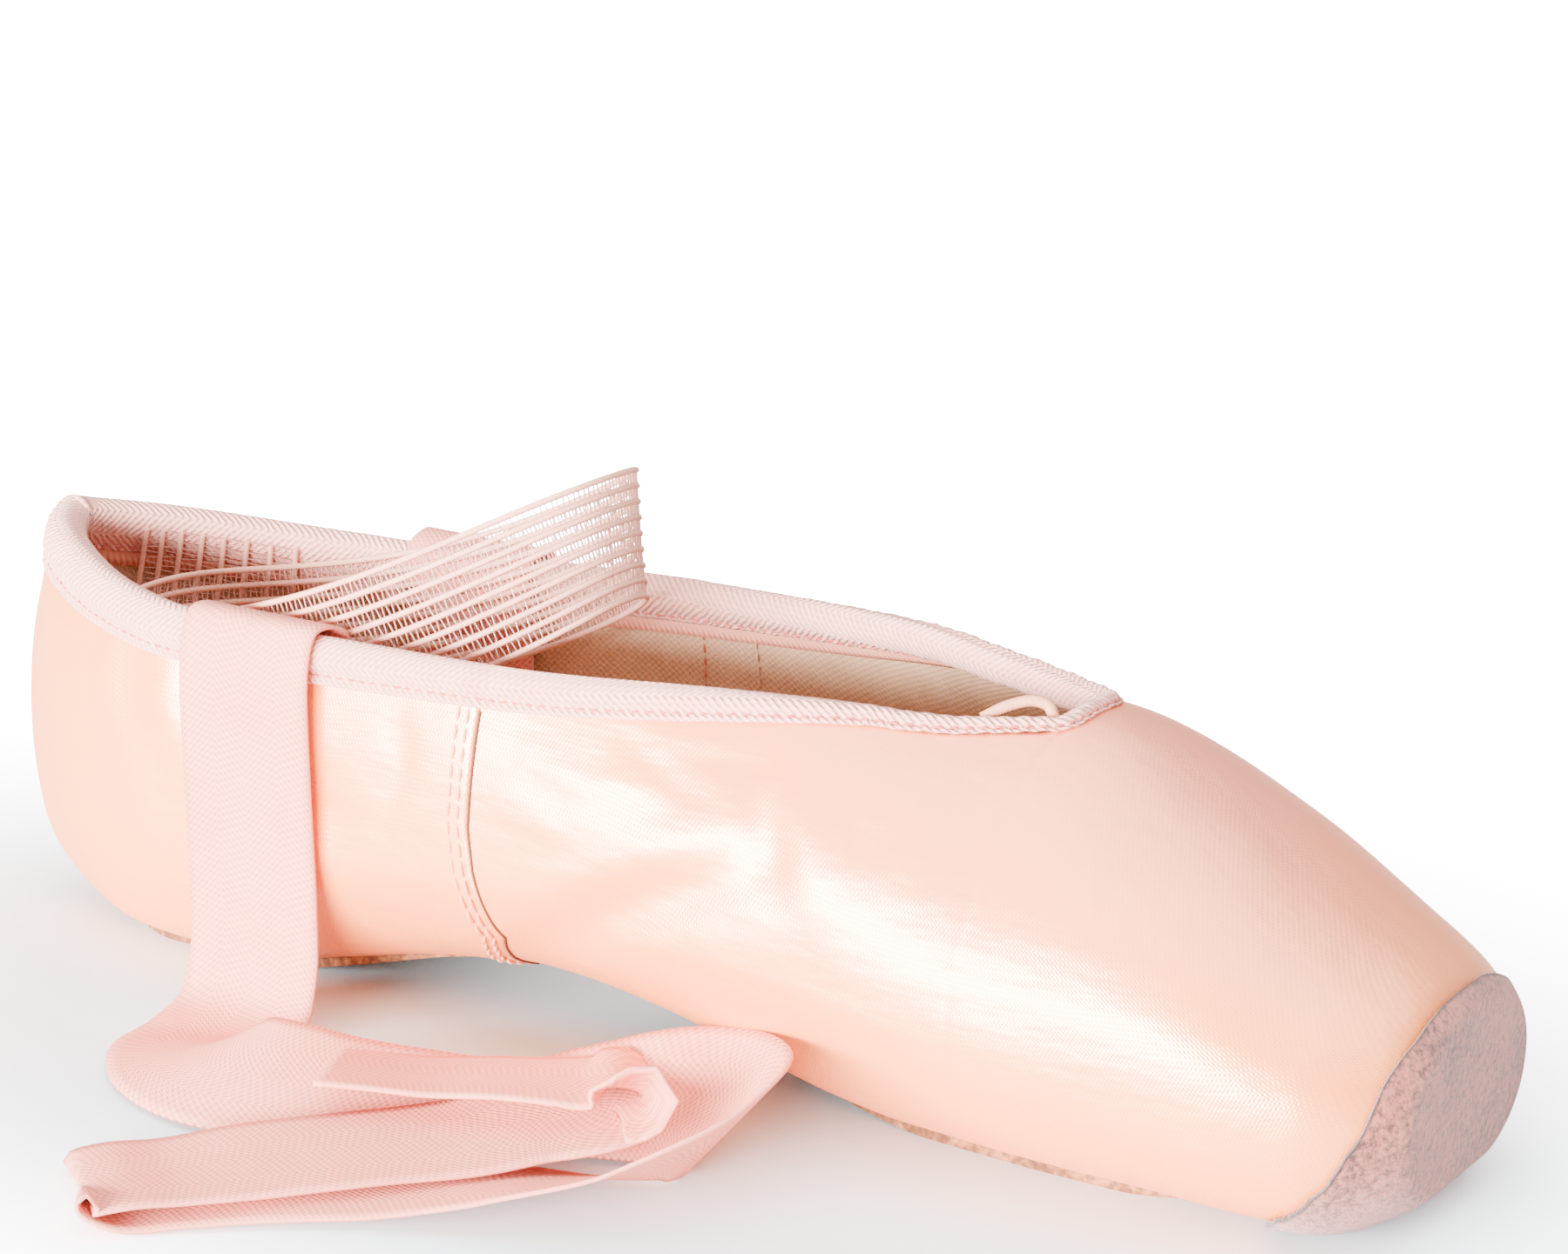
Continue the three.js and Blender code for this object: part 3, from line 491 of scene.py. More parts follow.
threads = woven(tools, 0.55, 0.7, 0.35, diagonal=0.4)
satin_with_painted_top_light = tools.mix(painted_top_light, satin_peach, satin_top_painted_light)
grain = tools.add("ShaderNodeTexNoise", {"Vector": place, "Scale": 420.0, "Detail": 4.0}).outputs["Fac"]
shade = tools.math("MULTIPLY_ADD", grain, 0.30, tools.math("MULTIPLY", threads, 0.12))
darker = tools.mix(1.0, satin_with_painted_top_light, (0.86, 0.72, 0.66, 1))
darker.node.blend_type = "MULTIPLY"
tools.tree.links.new(tools.mix(shade, satin_with_painted_top_light, darker), shader.inputs["Base Color"])
gloss = tools.math("MULTIPLY_ADD", threads, 0.08, 0.285)
tools.tree.links.new(gloss, shader.inputs["Roughness"])
stretch = tools.add("ShaderNodeMapping", {"Vector": place, "Scale": (0.5, 1.0, 1.6)})
pulled = tools.add("ShaderNodeTexNoise", {"Vector": stretch.outputs[0], "Scale": 130.0, "Detail": 3.0})
pulls = pulled.outputs["Fac"]
uneven = tools.add("ShaderNodeBump", {"Height": pulls, "Strength": 0.5, "Distance": 0.0006})
fine = {"Height": threads, "Strength": 0.3, "Distance": 0.00012, "Normal": uneven.outputs[0]}
bump = tools.add("ShaderNodeBump", fine)
tools.tree.links.new(bump.outputs["Normal"], shader.inputs["Normal"])

# Lining. The inside of the upper is beige cotton canvas, stiffened with paste towards the toe;
# it is closed along the sides with a flat seam of two rows of stitches.
lining_rows = 110
lining_columns = 110
canvas_thickness = 0.4
lining_stations = np.concatenate([
    heel_round * (1 - np.cos(np.linspace(0, math.pi / 2, 24))),
    np.linspace(heel_round, body_end - 2, lining_rows)[1:],
])
wall_quarter, wall_box, box_start, box_full = 1.8, 3.0, 188.0, 212.0


def wall_at(s):
    t = np.clip((s - box_start) / (box_full - box_start), 0, 1)
    return wall_quarter + (wall_box - wall_quarter) * t * t * (3 - 2 * t)


low = math.pi - edge_angle(lining_stations) + np.where(lining_stations < throat, 0.06, 0)
high = 3 * math.pi - low
angle, girth = even_angles(lining_stations, low, high, lining_columns)
s = np.repeat(lining_stations[:, None], lining_columns, 1)
seam_lips = 0.35 * np.exp(-(((s - 101.5) / 1.2) ** 2)) + 0.25 * np.exp(-(((s - 110.6) / 1.0) ** 2))
sunk = crease_depth(on_last(s, angle)) + wall_at(s) + seam_lips
points = off_last(s, angle, -sunk)
lining = grid_piece("canvas_lining", points, np.stack([s, girth], -1), weld=True)
face_outwards(lining, inside_out=True)
apply(lining, "SOLIDIFY", thickness=canvas_thickness * mm, offset=-1, use_rim=True)
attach(lining, "root")
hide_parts("upper")

canvas_beige = (0.74, 0.44, 0.27, 1)
canvas_shade = (0.36, 0.19, 0.09, 1)
tools, shader = finish("canvas", 0.9, (lining,))
threads = woven(tools, 1.15, 1.05, uneven=0.5)
place = tools.add("ShaderNodeTexCoord").outputs["Object"]
slubs = tools.add("ShaderNodeTexNoise", {"Vector": place, "Scale": 260.0, "Detail": 3.0}).outputs["Fac"]
shade = tools.math("MULTIPLY_ADD", threads, 0.55, tools.math("MULTIPLY", slubs, 0.6))
tools.tree.links.new(tools.mix(shade, canvas_shade, canvas_beige), shader.inputs["Base Color"])
bump = tools.add("ShaderNodeBump", {"Height": shade, "Strength": 0.7, "Distance": 0.0003})
tools.tree.links.new(bump.outputs["Normal"], shader.inputs["Normal"])

# Insole. A board covered in soft cotton lies over the sole opening, as wide as the flat bed.
insole_from, insole_to, insole_thickness, board_gap = 14.0, 223.0, 1.6, 0.5
seat_round, front_round = 13.0, 17.0
insole_rows = 100
insole_columns = 24


def round_ends(s, start, end, half):
    back = np.clip((start + seat_round - s) / seat_round, 0, 1)
    front = np.clip((s - end + front_round) / front_round, 0, 1)
    return half * np.sqrt(1 - np.maximum(back, front) ** 2)


def insole_half(s):
    half, widest, depth, rise, below, above = section(s)
    flat = (1 / sole_bed) ** (below / 2)
    bed = half * np.sqrt(1 - flat * flat) ** (2 / below)
    return round_ends(s, insole_from, insole_to, bed - 1)


def bed_layer(name, stations, half, out, columns, thickness):
    """A soft plate that follows the middle line of the sole bed."""
    middle = off_last(stations, -math.pi / 2, out)
    wide = np.maximum(half(stations), 0.3)
    across = np.linspace(-1, 1, columns)
    points = np.empty((len(stations), columns, 3))
    points[..., 0] = middle[:, None, 0]
    points[..., 1] = wide[:, None] * across
    points[..., 2] = middle[:, None, 2]
    uv = np.stack([np.repeat(stations[:, None], columns, 1), points[..., 1]], -1)
    piece = grid_piece(name, points, uv)
    bpy.ops.object.mode_set(mode="EDIT")
    bpy.ops.mesh.select_all(action="SELECT")
    bpy.ops.mesh.normals_make_consistent(inside=False)
    bpy.ops.object.mode_set(mode="OBJECT")
    if sum(face.normal.z for face in piece.data.polygons) < 0:
        piece.data.flip_normals()
    apply(piece, "SOLIDIFY", thickness=thickness * mm, offset=-1, use_rim=True)
    return piece


turn = np.linspace(0, math.pi, insole_rows)
insole_stations = insole_from + (insole_to - insole_from) * (0.5 - 0.5 * np.cos(turn))
insole_out = -wall_at(insole_stations) - board_gap - insole_thickness
insole = bed_layer(
    "cotton_insole", insole_stations, insole_half, insole_out, insole_columns, insole_thickness
)
apply(insole, "BEVEL", width=0.0004, segments=2, limit_method="ANGLE")
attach(insole, "root")
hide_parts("insole")
tools, shader = finish("cotton_sock", 0.92, (insole,))
threads = woven(tools, 0.9, 0.9, uneven=0.4)
place = tools.add("ShaderNodeTexCoord").outputs["Object"]
worn = tools.add("ShaderNodeTexNoise", {"Vector": place, "Scale": 60.0, "Detail": 4.0}).outputs["Fac"]
shade = tools.math("MULTIPLY_ADD", threads, 0.3, tools.math("MULTIPLY", worn, 0.9))
beige = tools.mix(shade, (0.42, 0.22, 0.10, 1), (0.75, 0.45, 0.25, 1))
tools.tree.links.new(beige, shader.inputs["Base Color"])
bump = tools.add("ShaderNodeBump", {"Height": threads, "Strength": 0.4, "Distance": 0.0002})
tools.tree.links.new(bump.outputs["Normal"], shader.inputs["Normal"])

# Outsole. A thin plate of tan leather, cut by hand and stitched on inside out, with a raw,
# fibrous edge; it is full at the heel seat, narrow at the waist and broad under the forepart.
sole_from, sole_to = 25.0, 214.0
fit_gap, sole_thickness = 0.3, 1.5
sole_outline = np.array((
    (25, 14.5), (45, 15.5), (62, 15), (85, 10.6), (102, 9.5), (120, 9.9), (150, 14.6),
    (170, 18.2), (192, 19.3), (214, 18.5),
))
sole_rows = 240
sole_columns = 26
turn = np.linspace(0, math.pi, sole_rows)
sole_stations = sole_from + (sole_to - sole_from) * (0.5 - 0.5 * np.cos(turn))


def sole_half(s):
    return round_ends(s, sole_from, sole_to, read_table(sole_outline, 1, s))


outsole = bed_layer("leather_outsole", sole_stations, sole_half, fit_gap, sole_columns, sole_thickness)
apply(outsole, "BEVEL", width=0.0003, segments=2, limit_method="ANGLE")
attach(outsole, "root")
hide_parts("outsole")
tools, shader = finish("sole_leather", 0.8, (outsole,))
place = tools.add("ShaderNodeTexCoord").outputs["Object"]
fibres = tools.add("ShaderNodeTexNoise", {"Vector": place, "Scale": 900.0, "Detail": 4.0}).outputs["Fac"]
patches = tools.add("ShaderNodeTexNoise", {"Vector": place, "Scale": 130.0, "Detail": 3.0}).outputs["Fac"]
shade = tools.math("MULTIPLY_ADD", fibres, 0.8, tools.math("MULTIPLY", patches, 0.5))
tan = tools.add("ShaderNodeValToRGB", {0: shade})
tan.color_ramp.elements[0].position = 0.38
tan.color_ramp.elements[0].color = (0.07, 0.018, 0.005, 1)
tan.color_ramp.elements[1].position = 0.85
tan.color_ramp.elements[1].color = (0.45, 0.17, 0.06, 1)
middle_tan = tan.color_ramp.elements.new(0.6)
middle_tan.color = (0.16, 0.05, 0.014, 1)
tools.tree.links.new(tan.outputs["Color"], shader.inputs["Base Color"])
bump = tools.add("ShaderNodeBump", {"Height": shade, "Strength": 0.8, "Distance": 0.0004})
tools.tree.links.new(bump.outputs["Normal"], shader.inputs["Normal"])

# Toe suede. A cap of mauve pink suede is glued and stitched over the platform; its nap catches
# the light in grains, and its cut edge is darker.
suede_edge = np.array((
    (-4, 216), (3.5, 221), (8.5, 227), (13, 230.5), (19, 232.8), (25, 234), (30, 235.2), (40, 236),
))
suede_thickness = 0.7
suede_rows = 34
suede_columns = 150
platform_rows = 22
platform_bulge = 0.5
t = np.linspace(0, 1, suede_columns)
cut_angle = 1.5 * math.pi + (t - 0.5) * 2 * math.pi
cut_height = on_last(232.0, cut_angle)[:, 2]
cut_station = read_table(suede_edge, 1, cut_height)
for again in range(6):
    cut_height = on_last(cut_station, cut_angle)[:, 2]
    cut_station = read_table(suede_edge, 1, cut_height)
cut_station += 0.12 * np.sin(cut_angle * 23) + 0.1 * np.sin(cut_angle * 41 + 1) + 0.1 * np.sin(cut_angle * 9)
cut_station = np.minimum(cut_station, last_length - 1.2)
toward_tip = 1 - (1 - np.linspace(0, 1, suede_rows)[:, None]) ** 1.6
s = cut_station + (last_length - cut_station) * toward_tip
angle = np.repeat(cut_angle[None], suede_rows, 0)
skin_points = off_last(s, angle, fit_gap)
tip = skin_points[-1]
centre = np.array([last_length + fit_gap - shoe_origin, 0, 17.5])
platform = []
for k in range(1, platform_rows + 1):
    f = k / platform_rows
    ring = centre + (tip - centre) * (1 - f)
    ring[:, 0] = last_length + fit_gap - shoe_origin + platform_bulge * (1 - (1 - f) ** 2) * 0.3
    platform.append(ring)
points = np.concatenate([skin_points, np.array(platform)])
distance = np.linalg.norm(np.diff(points, axis=0), axis=-1).cumsum(0)
distance = np.concatenate([np.zeros((1, suede_columns)), distance])
uv = np.stack([distance, np.repeat(t[None] * 150, len(points), 0)], -1)
suede_cap = grid_piece("suede_tip", points, uv, weld=True)
face_outwards(suede_cap)
soft_from = last_length - shoe_origin - 5
bpy.ops.object.mode_set(mode="EDIT")
bpy.ops.mesh.select_all(action="DESELECT")
bpy.ops.object.mode_set(mode="OBJECT")
for vertex in suede_cap.data.vertices:
    vertex.select = vertex.co.x > soft_from * mm
bpy.ops.object.mode_set(mode="EDIT")
bpy.ops.mesh.vertices_smooth(factor=0.5, repeat=14)
bpy.ops.object.mode_set(mode="OBJECT")
apply(suede_cap, "SOLIDIFY", thickness=suede_thickness * mm, offset=1, use_rim=True)
apply(suede_cap, "BEVEL", width=0.0002, segments=2, limit_method="ANGLE", angle_limit=0.9)
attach(suede_cap, "root")
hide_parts("toe_suede")
tools, shader = finish("suede", 0.95, (suede_cap,))
shader.inputs["Sheen Weight"].default_value = 0.4
shader.inputs["Specular IOR Level"].default_value = 0.15
place = tools.add("ShaderNodeTexCoord").outputs["Object"]
grains = {"Vector": place, "Scale": 1100.0, "Detail": 5.0, "Roughness": 0.7}
nap = tools.add("ShaderNodeTexNoise", grains).outputs["Fac"]
brushed = tools.add("ShaderNodeTexNoise", {"Vector": place, "Scale": 90.0, "Detail": 3.0}).outputs["Fac"]
shade = tools.math("MULTIPLY_ADD", nap, 1.3, tools.math("MULTIPLY", brushed, 0.5))
mauve = tools.add("ShaderNodeValToRGB", {0: shade})
mauve.color_ramp.elements[0].position = 0.66
mauve.color_ramp.elements[0].color = (0.07, 0.018, 0.013, 1)
mauve.color_ramp.elements[1].position = 1.0
mauve.color_ramp.elements[1].color = (0.41, 0.112, 0.082, 1)
edge_way = tools.add("ShaderNodeSeparateXYZ", {0: tools.add("ShaderNodeUVMap", uv_map="UVMap").outputs[0]})
ragged = tools.math("MULTIPLY_ADD", nap, 0.0012, edge_way.outputs["X"])
at_edge = tools.add("ShaderNodeMapRange", {0: ragged, 1: 0.0008, 2: 0.0014, 3: 1.0, 4: 0.0}).outputs[0]
edged = tools.mix(at_edge, mauve.outputs["Color"], (0.05, 0.014, 0.012, 1))
tools.tree.links.new(edged, shader.inputs["Base Color"])
bump = tools.add("ShaderNodeBump", {"Height": nap, "Strength": 1.0, "Distance": 0.0005})
tools.tree.links.new(bump.outputs["Normal"], shader.inputs["Normal"])

# Collar binding. A pale pink twill tape is folded over the edge of the opening; on the real shoe
# the drawstring runs in its fold. One row of stitches runs along its lower edge.
tape_gap, tape_thickness = 0.55, 0.8
binding_steps = 520
# Way round the collar from the heel (0) to the throat (1), how far the tape reaches down
tape_drops = np.array((
    (0, 6.4), (0.33, 6), (0.43, 5.2), (0.54, 4.5), (0.65, 3.9), (0.75, 2.9), (0.85, 2.3), (1, 1.7),
))


def collar_frame(way, side):
    """Point, normal and edge direction of the collar at a way round it, for one side."""
    def at(w):
        s = throat * (1 - np.cos(w * math.pi)) / 2
        angle = edge_angle(np.minimum(s, throat - 1e-6))
        angle = np.where(w >= 1, math.pi / 2, angle)
        return s, angle if side > 0 else math.pi - angle

    way = np.asarray(way, float)
    s, angle = at(way)
    point = on_last(s, angle)
    normal = off_last(s, angle, 1.0) - point
    ahead = on_last(*at(np.minimum(1, way + 0.004)))
    behind = on_last(*at(np.maximum(0, way - 0.004)))
    along = ahead - behind
    ends = (way <= 0) | (way >= 1)
    along[ends] = (0, 1, 0)
    point[ends, 1] = 0
    normal[ends, 1] = 0
    along /= np.linalg.norm(along, axis=-1, keepdims=True)
    normal /= np.linalg.norm(normal, axis=-1, keepdims=True)
    edge = np.cross(normal, along)
    edge /= np.linalg.norm(edge, axis=-1, keepdims=True)
    opening = np.array([throat / 2 - shoe_origin + 20, 0, 90]) - point
    edge *= np.where(np.sum(edge * opening, -1, keepdims=True) < 0, -1, 1)
    return s, point, normal, edge, along


def stand_off(point, direction):
    """How far each point stands off the last, along a direction."""
    low, high = np.full(len(point), -6.0), np.full(len(point), 6.0)
    for again in range(26):
        middle = (low + high) / 2
        q = point - direction * middle[:, None]
        s = q[:, 0] + shoe_origin
        for nearer in range(5):
            up = np.clip((q[:, 2] - lean_from) / lean_per, 0, 2)
            lean = lean_by * up * up * np.clip(1 - np.clip(s, 0, last_length) / lean_reach, 0, 1)
            s = q[:, 0] + shoe_origin - lean
        half, widest, depth, rise, below, above = section(np.clip(s, 0.001, last_length))
        over = q[:, 2] > widest
        power = np.where(over, above, below)
        tall = np.where(over, rise, depth * sole_bed)
        inside = np.abs(q[:, 1] / half) ** power + np.abs((q[:, 2] - widest) / tall) ** power < 1
        inside &= (s > 0) & (s < last_length)
        high = np.where(inside, middle, high)
        low = np.where(inside, low, middle)
    return (low + high) / 2


def on_wall(collar, across, up):
    s, point, normal, edge, along = collar
    q = point + edge * np.asarray(up, float)[..., None]
    off = np.where(np.asarray(up, float) < 0, stand_off(q, normal), 0)
    return q + normal * (np.asarray(across, float) - off)[..., None]


def tape_depth(way):
    return read_table(tape_drops, 1, way)


half_steps = binding_steps // 2
way = np.linspace(0, 1, half_steps + 1)
near = collar_frame(way, -1)
far = collar_frame(way, 1)
collar = [np.concatenate([a, b[-2:0:-1]]) for a, b in zip(near, far)]
collar_way = np.concatenate([way, way[-2:0:-1]])
drop = tape_depth(collar_way)
on_quarter = np.clip((side_seam + 1 - collar[0]) / 2, 0, 1)
outside = lap_height * on_quarter + 0.15
inner = wall_quarter + tape_gap
run = np.linalg.norm(np.diff(np.concatenate([collar[1], collar[1][:1]]), axis=0), axis=-1).cumsum()
run = np.concatenate([[0], run[:-1]])
pucker = 0.09 * np.sin(run * 2 * math.pi / 2.6) + 0.06 * np.sin(run * 2 * math.pi / 7.3)
pinch = np.clip(drop / 5, 0, 1)
slim = 0.45 + 0.55 * np.clip((drop - 1.7) / 2.5, 0, 1)
plump = tape_thickness + 0.75 * slim
profile = [
    (outside + 0.05, -drop),
    (outside + 0.35, -drop - 0.1),
    (outside + tape_thickness * 0.85 * slim, -drop + 0.15 * pinch),
    (outside + tape_thickness * 0.8 * slim, -drop + 0.9 * pinch),
    (outside + tape_thickness * 0.5 * slim, -drop + 1.25 * pinch),
    (outside + tape_thickness * slim, -drop + 1.8 * pinch),
    (outside + plump * 0.8, -drop * 0.58),
    (outside + plump * 0.95, -drop * 0.4),
    (outside + plump, -drop * 0.22),
    (outside + plump * 0.9, -drop * 0.05),
    (outside + plump * 0.62, 0.65),
    (outside + plump * 0.1, 1.3),
    (0.2, 1.62),
    (-0.8, 1.74),
    (-wall_quarter, 1.6),
    (-inner - plump * 0.35, 1.15),
    (-inner - plump * 0.8, 0.4),
    (-inner - plump, -drop * 0.15),
    (-inner - plump * 0.9, -drop * 0.4),
    (-inner - tape_thickness * slim, -drop + 1.9 * pinch),
    (-inner - tape_thickness * 0.6 * slim, -drop + 1.35 * pinch),
    (-inner - tape_thickness * 0.8 * slim, -drop + 0.9 * pinch),
    (-inner - tape_thickness * 0.5, -drop * 0.93),
    (-inner, -drop * 0.9),
    (-inner, 0.3),
    (outside, 0.3),
    (outside + 0.05, -drop),
]
columns = []
for across, up in profile:
    ripple = pucker * np.sign(across)
    lips = np.where(np.asarray(up) < 1.0, ripple, ripple * 0.3)
    columns.append(on_wall(collar, across + lips, up + 0 * run))
points = np.stack(columns, 1)
points = np.concatenate([points, points[:1]])
around = np.linalg.norm(np.diff(points, axis=1), axis=-1).cumsum(1)
around = np.concatenate([np.zeros((len(points), 1)), around], 1)
length = np.concatenate([run, [run[-1] + 1.0]])
uv = np.stack([np.repeat(length[:, None], points.shape[1], 1), around], -1)
binding = grid_piece("collar_tape", points, uv, weld=True)
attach(binding, "root")
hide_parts("collar_binding")
tools, shader = finish("pink_twill", 0.85, (binding,))
shader.inputs["Sheen Weight"].default_value = 0.2
threads = woven(tools, 1.15, 0.9, 0.9, diagonal=1.0, stripe=4.2, uneven=0.15)
place = tools.add("ShaderNodeTexCoord").outputs["Object"]
soft = tools.add("ShaderNodeTexNoise", {"Vector": place, "Scale": 120.0, "Detail": 3.0}).outputs["Fac"]
shade = tools.math("MULTIPLY_ADD", threads, 0.75, tools.math("MULTIPLY", soft, 0.35))
pale_pink = tools.mix(shade, (0.62, 0.17, 0.12, 1), (0.97, 0.50, 0.40, 1))
tools.tree.links.new(pale_pink, shader.inputs["Base Color"])
bump = tools.add("ShaderNodeBump", {"Height": threads, "Strength": 0.9, "Distance": 0.0004})
tools.tree.links.new(bump.outputs["Normal"], shader.inputs["Normal"])


def strands(name, lines, radius, rings=1, closed=False, ends=1.0):
    """Round threads along lines of points, in millimetres, as a curve turned into a mesh."""
    bpy.ops.object.select_all(action="DESELECT")
    bpy.ops.curve.primitive_nurbs_path_add()
    piece = bpy.context.object
    piece.name = piece.data.name = name
    curve = piece.data
    curve.splines.clear()
    curve.dimensions = "3D"
    curve.bevel_depth = radius * mm
    curve.bevel_resolution = rings
    curve.use_fill_caps = True
    for line in lines:
        spline = curve.splines.new("POLY")
        spline.points.add(len(line) - 1)
        place = np.column_stack([np.asarray(line) * mm, np.ones(len(line))])
        spline.points.foreach_set("co", place.ravel())
        thick = np.ones(len(line))
        thick[[0, -1]] = ends
        spline.points.foreach_set("radius", thick)
        spline.use_cyclic_u = closed
    bpy.ops.object.convert(target="MESH")
    bpy.ops.object.shade_smooth()
    return bpy.context.object


def stitches(points, normals, pitch, length, lift):
    """Arched stitches along a line of points, as short lines for strands."""
    run = np.concatenate([[0], np.linalg.norm(np.diff(points, axis=0), axis=-1).cumsum()])
    at = np.array((0, 0.2, 0.5, 0.8, 1.0))
    arch = np.array((-0.8, 0.5, 1.0, 0.5, -0.8)) * lift
    lines = []
    for start in np.arange((pitch - length) / 2, run[-1] - length, pitch):
        where = start + at * length
        line = np.stack([np.interp(where, run, points[:, k]) for k in range(3)], -1)
        out = np.stack([np.interp(where, run, normals[:, k]) for k in range(3)], -1)
        lines.append(line + out * arch[:, None])
    return lines


def plain_thread(name, color, roughness, piece, scale=2500.0, depth=0.5):
    """Spun thread: a colour with fine darker twists."""
    tools, shader = finish(name, roughness, (piece,))
    place = tools.add("ShaderNodeTexCoord").outputs["Object"]
    twist = tools.add("ShaderNodeTexNoise", {"Vector": place, "Scale": scale, "Detail": 2.0}).outputs["Fac"]
    dark = tuple(0.62 * v for v in color[:3]) + (1,)
    tools.tree.links.new(tools.mix(twist, dark, color), shader.inputs["Base Color"])
    bump = tools.add("ShaderNodeBump", {"Height": twist, "Strength": depth, "Distance": 0.0002})
    tools.tree.links.new(bump.outputs["Normal"], shader.inputs["Normal"])


def seat(piece, node):
    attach(piece, "root")
    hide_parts(node)


# Stitches of the binding. A pinkish red thread runs a millimetre above the tape's lower edge,
# outside and inside.
fine_way = np.linspace(0, 1, 1400)
stitch_pitch, stitch_length = 2.0, 1.35
stitch_up = 1.25
outer_lines, inner_lines = [], []
for side in (-1, 1):
    frame_of = collar_frame(fine_way, side)
    normal = frame_of[2]
    up = -tape_depth(fine_way) + stitch_up * np.clip(tape_depth(fine_way) / 5, 0, 1)
    rim = lap_height * np.clip((side_seam + 1 - frame_of[0]) / 2, 0, 1) + 0.15
    row = on_wall(frame_of, rim + tape_thickness * 0.5, up)
    outer_lines += stitches(row, normal, stitch_pitch, stitch_length, 0.16)
    row = on_wall(frame_of, 0 * fine_way - inner - tape_thickness * 0.65, up)
    inner_lines += stitches(row, -normal, stitch_pitch, stitch_length, 0.16)
binding_thread = strands("binding_stitches", outer_lines + inner_lines, 0.17, rings=0, ends=0.6)
seat(binding_thread, "collar_binding")
plain_thread("red_thread", (0.75, 0.14, 0.10, 1), 0.7, binding_thread)

# Side seams. The quarters are folded under and sewn over the vamp with two rows of puffed
# stitches in satin-coloured thread; a thin dark brown cord along the turned edge is painted shadow, the shade
# of the step where the quarter laps the vamp.
seam_rows = (1.5, 3.1)
seam_lines, painted_shadow_rows = [], []
for side in (-1, 1):
    turn = np.linspace(0.42, -1.18, 260)
    seam_angle = turn if side > 0 else math.pi - turn
    height = on_last(side_seam, seam_angle)[:, 2]
    front_edge = side_seam + np.interp(height, seam_heights, seam_bow)
    for back in seam_rows:
        s = front_edge - back
        high = lap(np.minimum(s, side_seam - 2), seam_angle)
        sunk = crease_depth(on_last(s, seam_angle))
        row = off_last(s, seam_angle, high - sunk)
        normal = off_last(s, seam_angle, 1.0) - on_last(s, seam_angle)
        seam_lines += stitches(row, normal, 2.7, 2.2, 0.12)
    # A thin dark brown cord along the quarter's front edge: painted shadow of the lap's step.
    sunk = crease_depth(on_last(front_edge, seam_angle))
    painted_shadow_rows.append(off_last(front_edge + 0.1, seam_angle, 0.08 - sunk))
seam_thread = strands("side_seam_stitches", seam_lines, 0.27, rings=1, ends=0.5)
seat(seam_thread, "upper")
plain_thread("peach_thread", (0.95, 0.36, 0.2, 1), 0.5, seam_thread)
painted_seam_shadow_line = strands("side_painted_seam_shadow_line", painted_shadow_rows, 0.2, rings=0)
seat(painted_seam_shadow_line, "upper")
plain_thread("painted_seam_shadow_brown", (0.13, 0.022, 0.006, 1), 0.8, painted_seam_shadow_line)

# Seams of the lining, sewn in red and in pale thread.
for name, station, color in (
    ("lining_stitches_back", 101.5, (0.62, 0.14, 0.09, 1)),
    ("lining_stitches_front", 110.6, (0.88, 0.55, 0.38, 1)),
):
    lines = []
    for side in (-1, 1):
        turn = np.linspace(0.5, -0.9, 260)
        seam_angle = turn if side > 0 else math.pi - turn
        s = station + 0 * turn
        deep = wall_at(s) + crease_depth(on_last(s, seam_angle)) + 0.35 + canvas_thickness
        row = off_last(s, seam_angle, -deep + canvas_thickness)
        normal = on_last(s, seam_angle) - off_last(s, seam_angle, 1.0)
        lines += stitches(row, normal, 2.1, 1.5, 0.15)
    lining_thread = strands(name, lines, 0.16, rings=0, ends=0.6)
    seat(lining_thread, "upper")
    plain_thread(name + "_thread", color, 0.8, lining_thread)

# Facing. A salmon cotton tape covers the lining's raw edge below the binding.
facing_width, facing_thickness = 2.0, 0.3
facing_columns = 7
facing_edge = np.linspace(0, 1, facing_columns)
strips = []
for side in (-1, 1):
    frame_of = collar_frame(np.linspace(0, 1, 261), side)
    columns = [
        on_wall(frame_of, -wall_quarter - facing_thickness - 0.1 + 0 * frame_of[0],
                -1.0 - (facing_width + tape_depth(np.linspace(0, 1, 261)) - 1.0) * f)
        for f in facing_edge
    ]
    strips.append(np.stack(columns, 1))
points = np.concatenate([strips[0], strips[1][-2:0:-1], strips[0][:1]])
run = np.concatenate([[0], np.linalg.norm(np.diff(points[:, 0], axis=0), axis=-1).cumsum()])
runs = np.repeat(run[:, None], facing_columns, 1)
uv = np.stack([runs, np.repeat(facing_edge[None] * facing_width, len(run), 0)], -1)
facing = grid_piece("facing_tape", points, uv, weld=True)
face_outwards(facing, inside_out=True)
apply(facing, "SOLIDIFY", thickness=facing_thickness * mm, offset=1, use_rim=True)
seat(facing, "collar_binding")
tools, shader = finish("salmon_tape", 0.9, (facing,))
threads = woven(tools, 0.9, 0.8, 1.0, diagonal=0.8, stripe=3.0)
salmon_pink = tools.mix(threads, (0.60, 0.19, 0.12, 1), (0.92, 0.38, 0.26, 1))
tools.tree.links.new(salmon_pink, shader.inputs["Base Color"])
bump = tools.add("ShaderNodeBump", {"Height": threads, "Strength": 0.4, "Distance": 0.0002})
tools.tree.links.new(bump.outputs["Normal"], shader.inputs["Normal"])

# Drawstring. A thin elastic cord that on the real shoe runs in the fold of the binding; only the
# short loop that comes out of the binding near the throat is made.
cord_diameter = 1.6
# Way round the collar, across and up from its edge, of the loop on the near side
loop_spots = ((0.85, -0.4, 2.2), (0.875, 0.9, 3.2), (0.905, 1.6, 3.6), (0.935, 1.1, 3.2), (0.96, -0.2, 2.2))
spots = []
for way_at, across, up in loop_spots:
    frame_of = collar_frame(np.array([way_at]), -1)
    spots.append(on_wall(frame_of, np.array([across]), np.array([up]))[0])


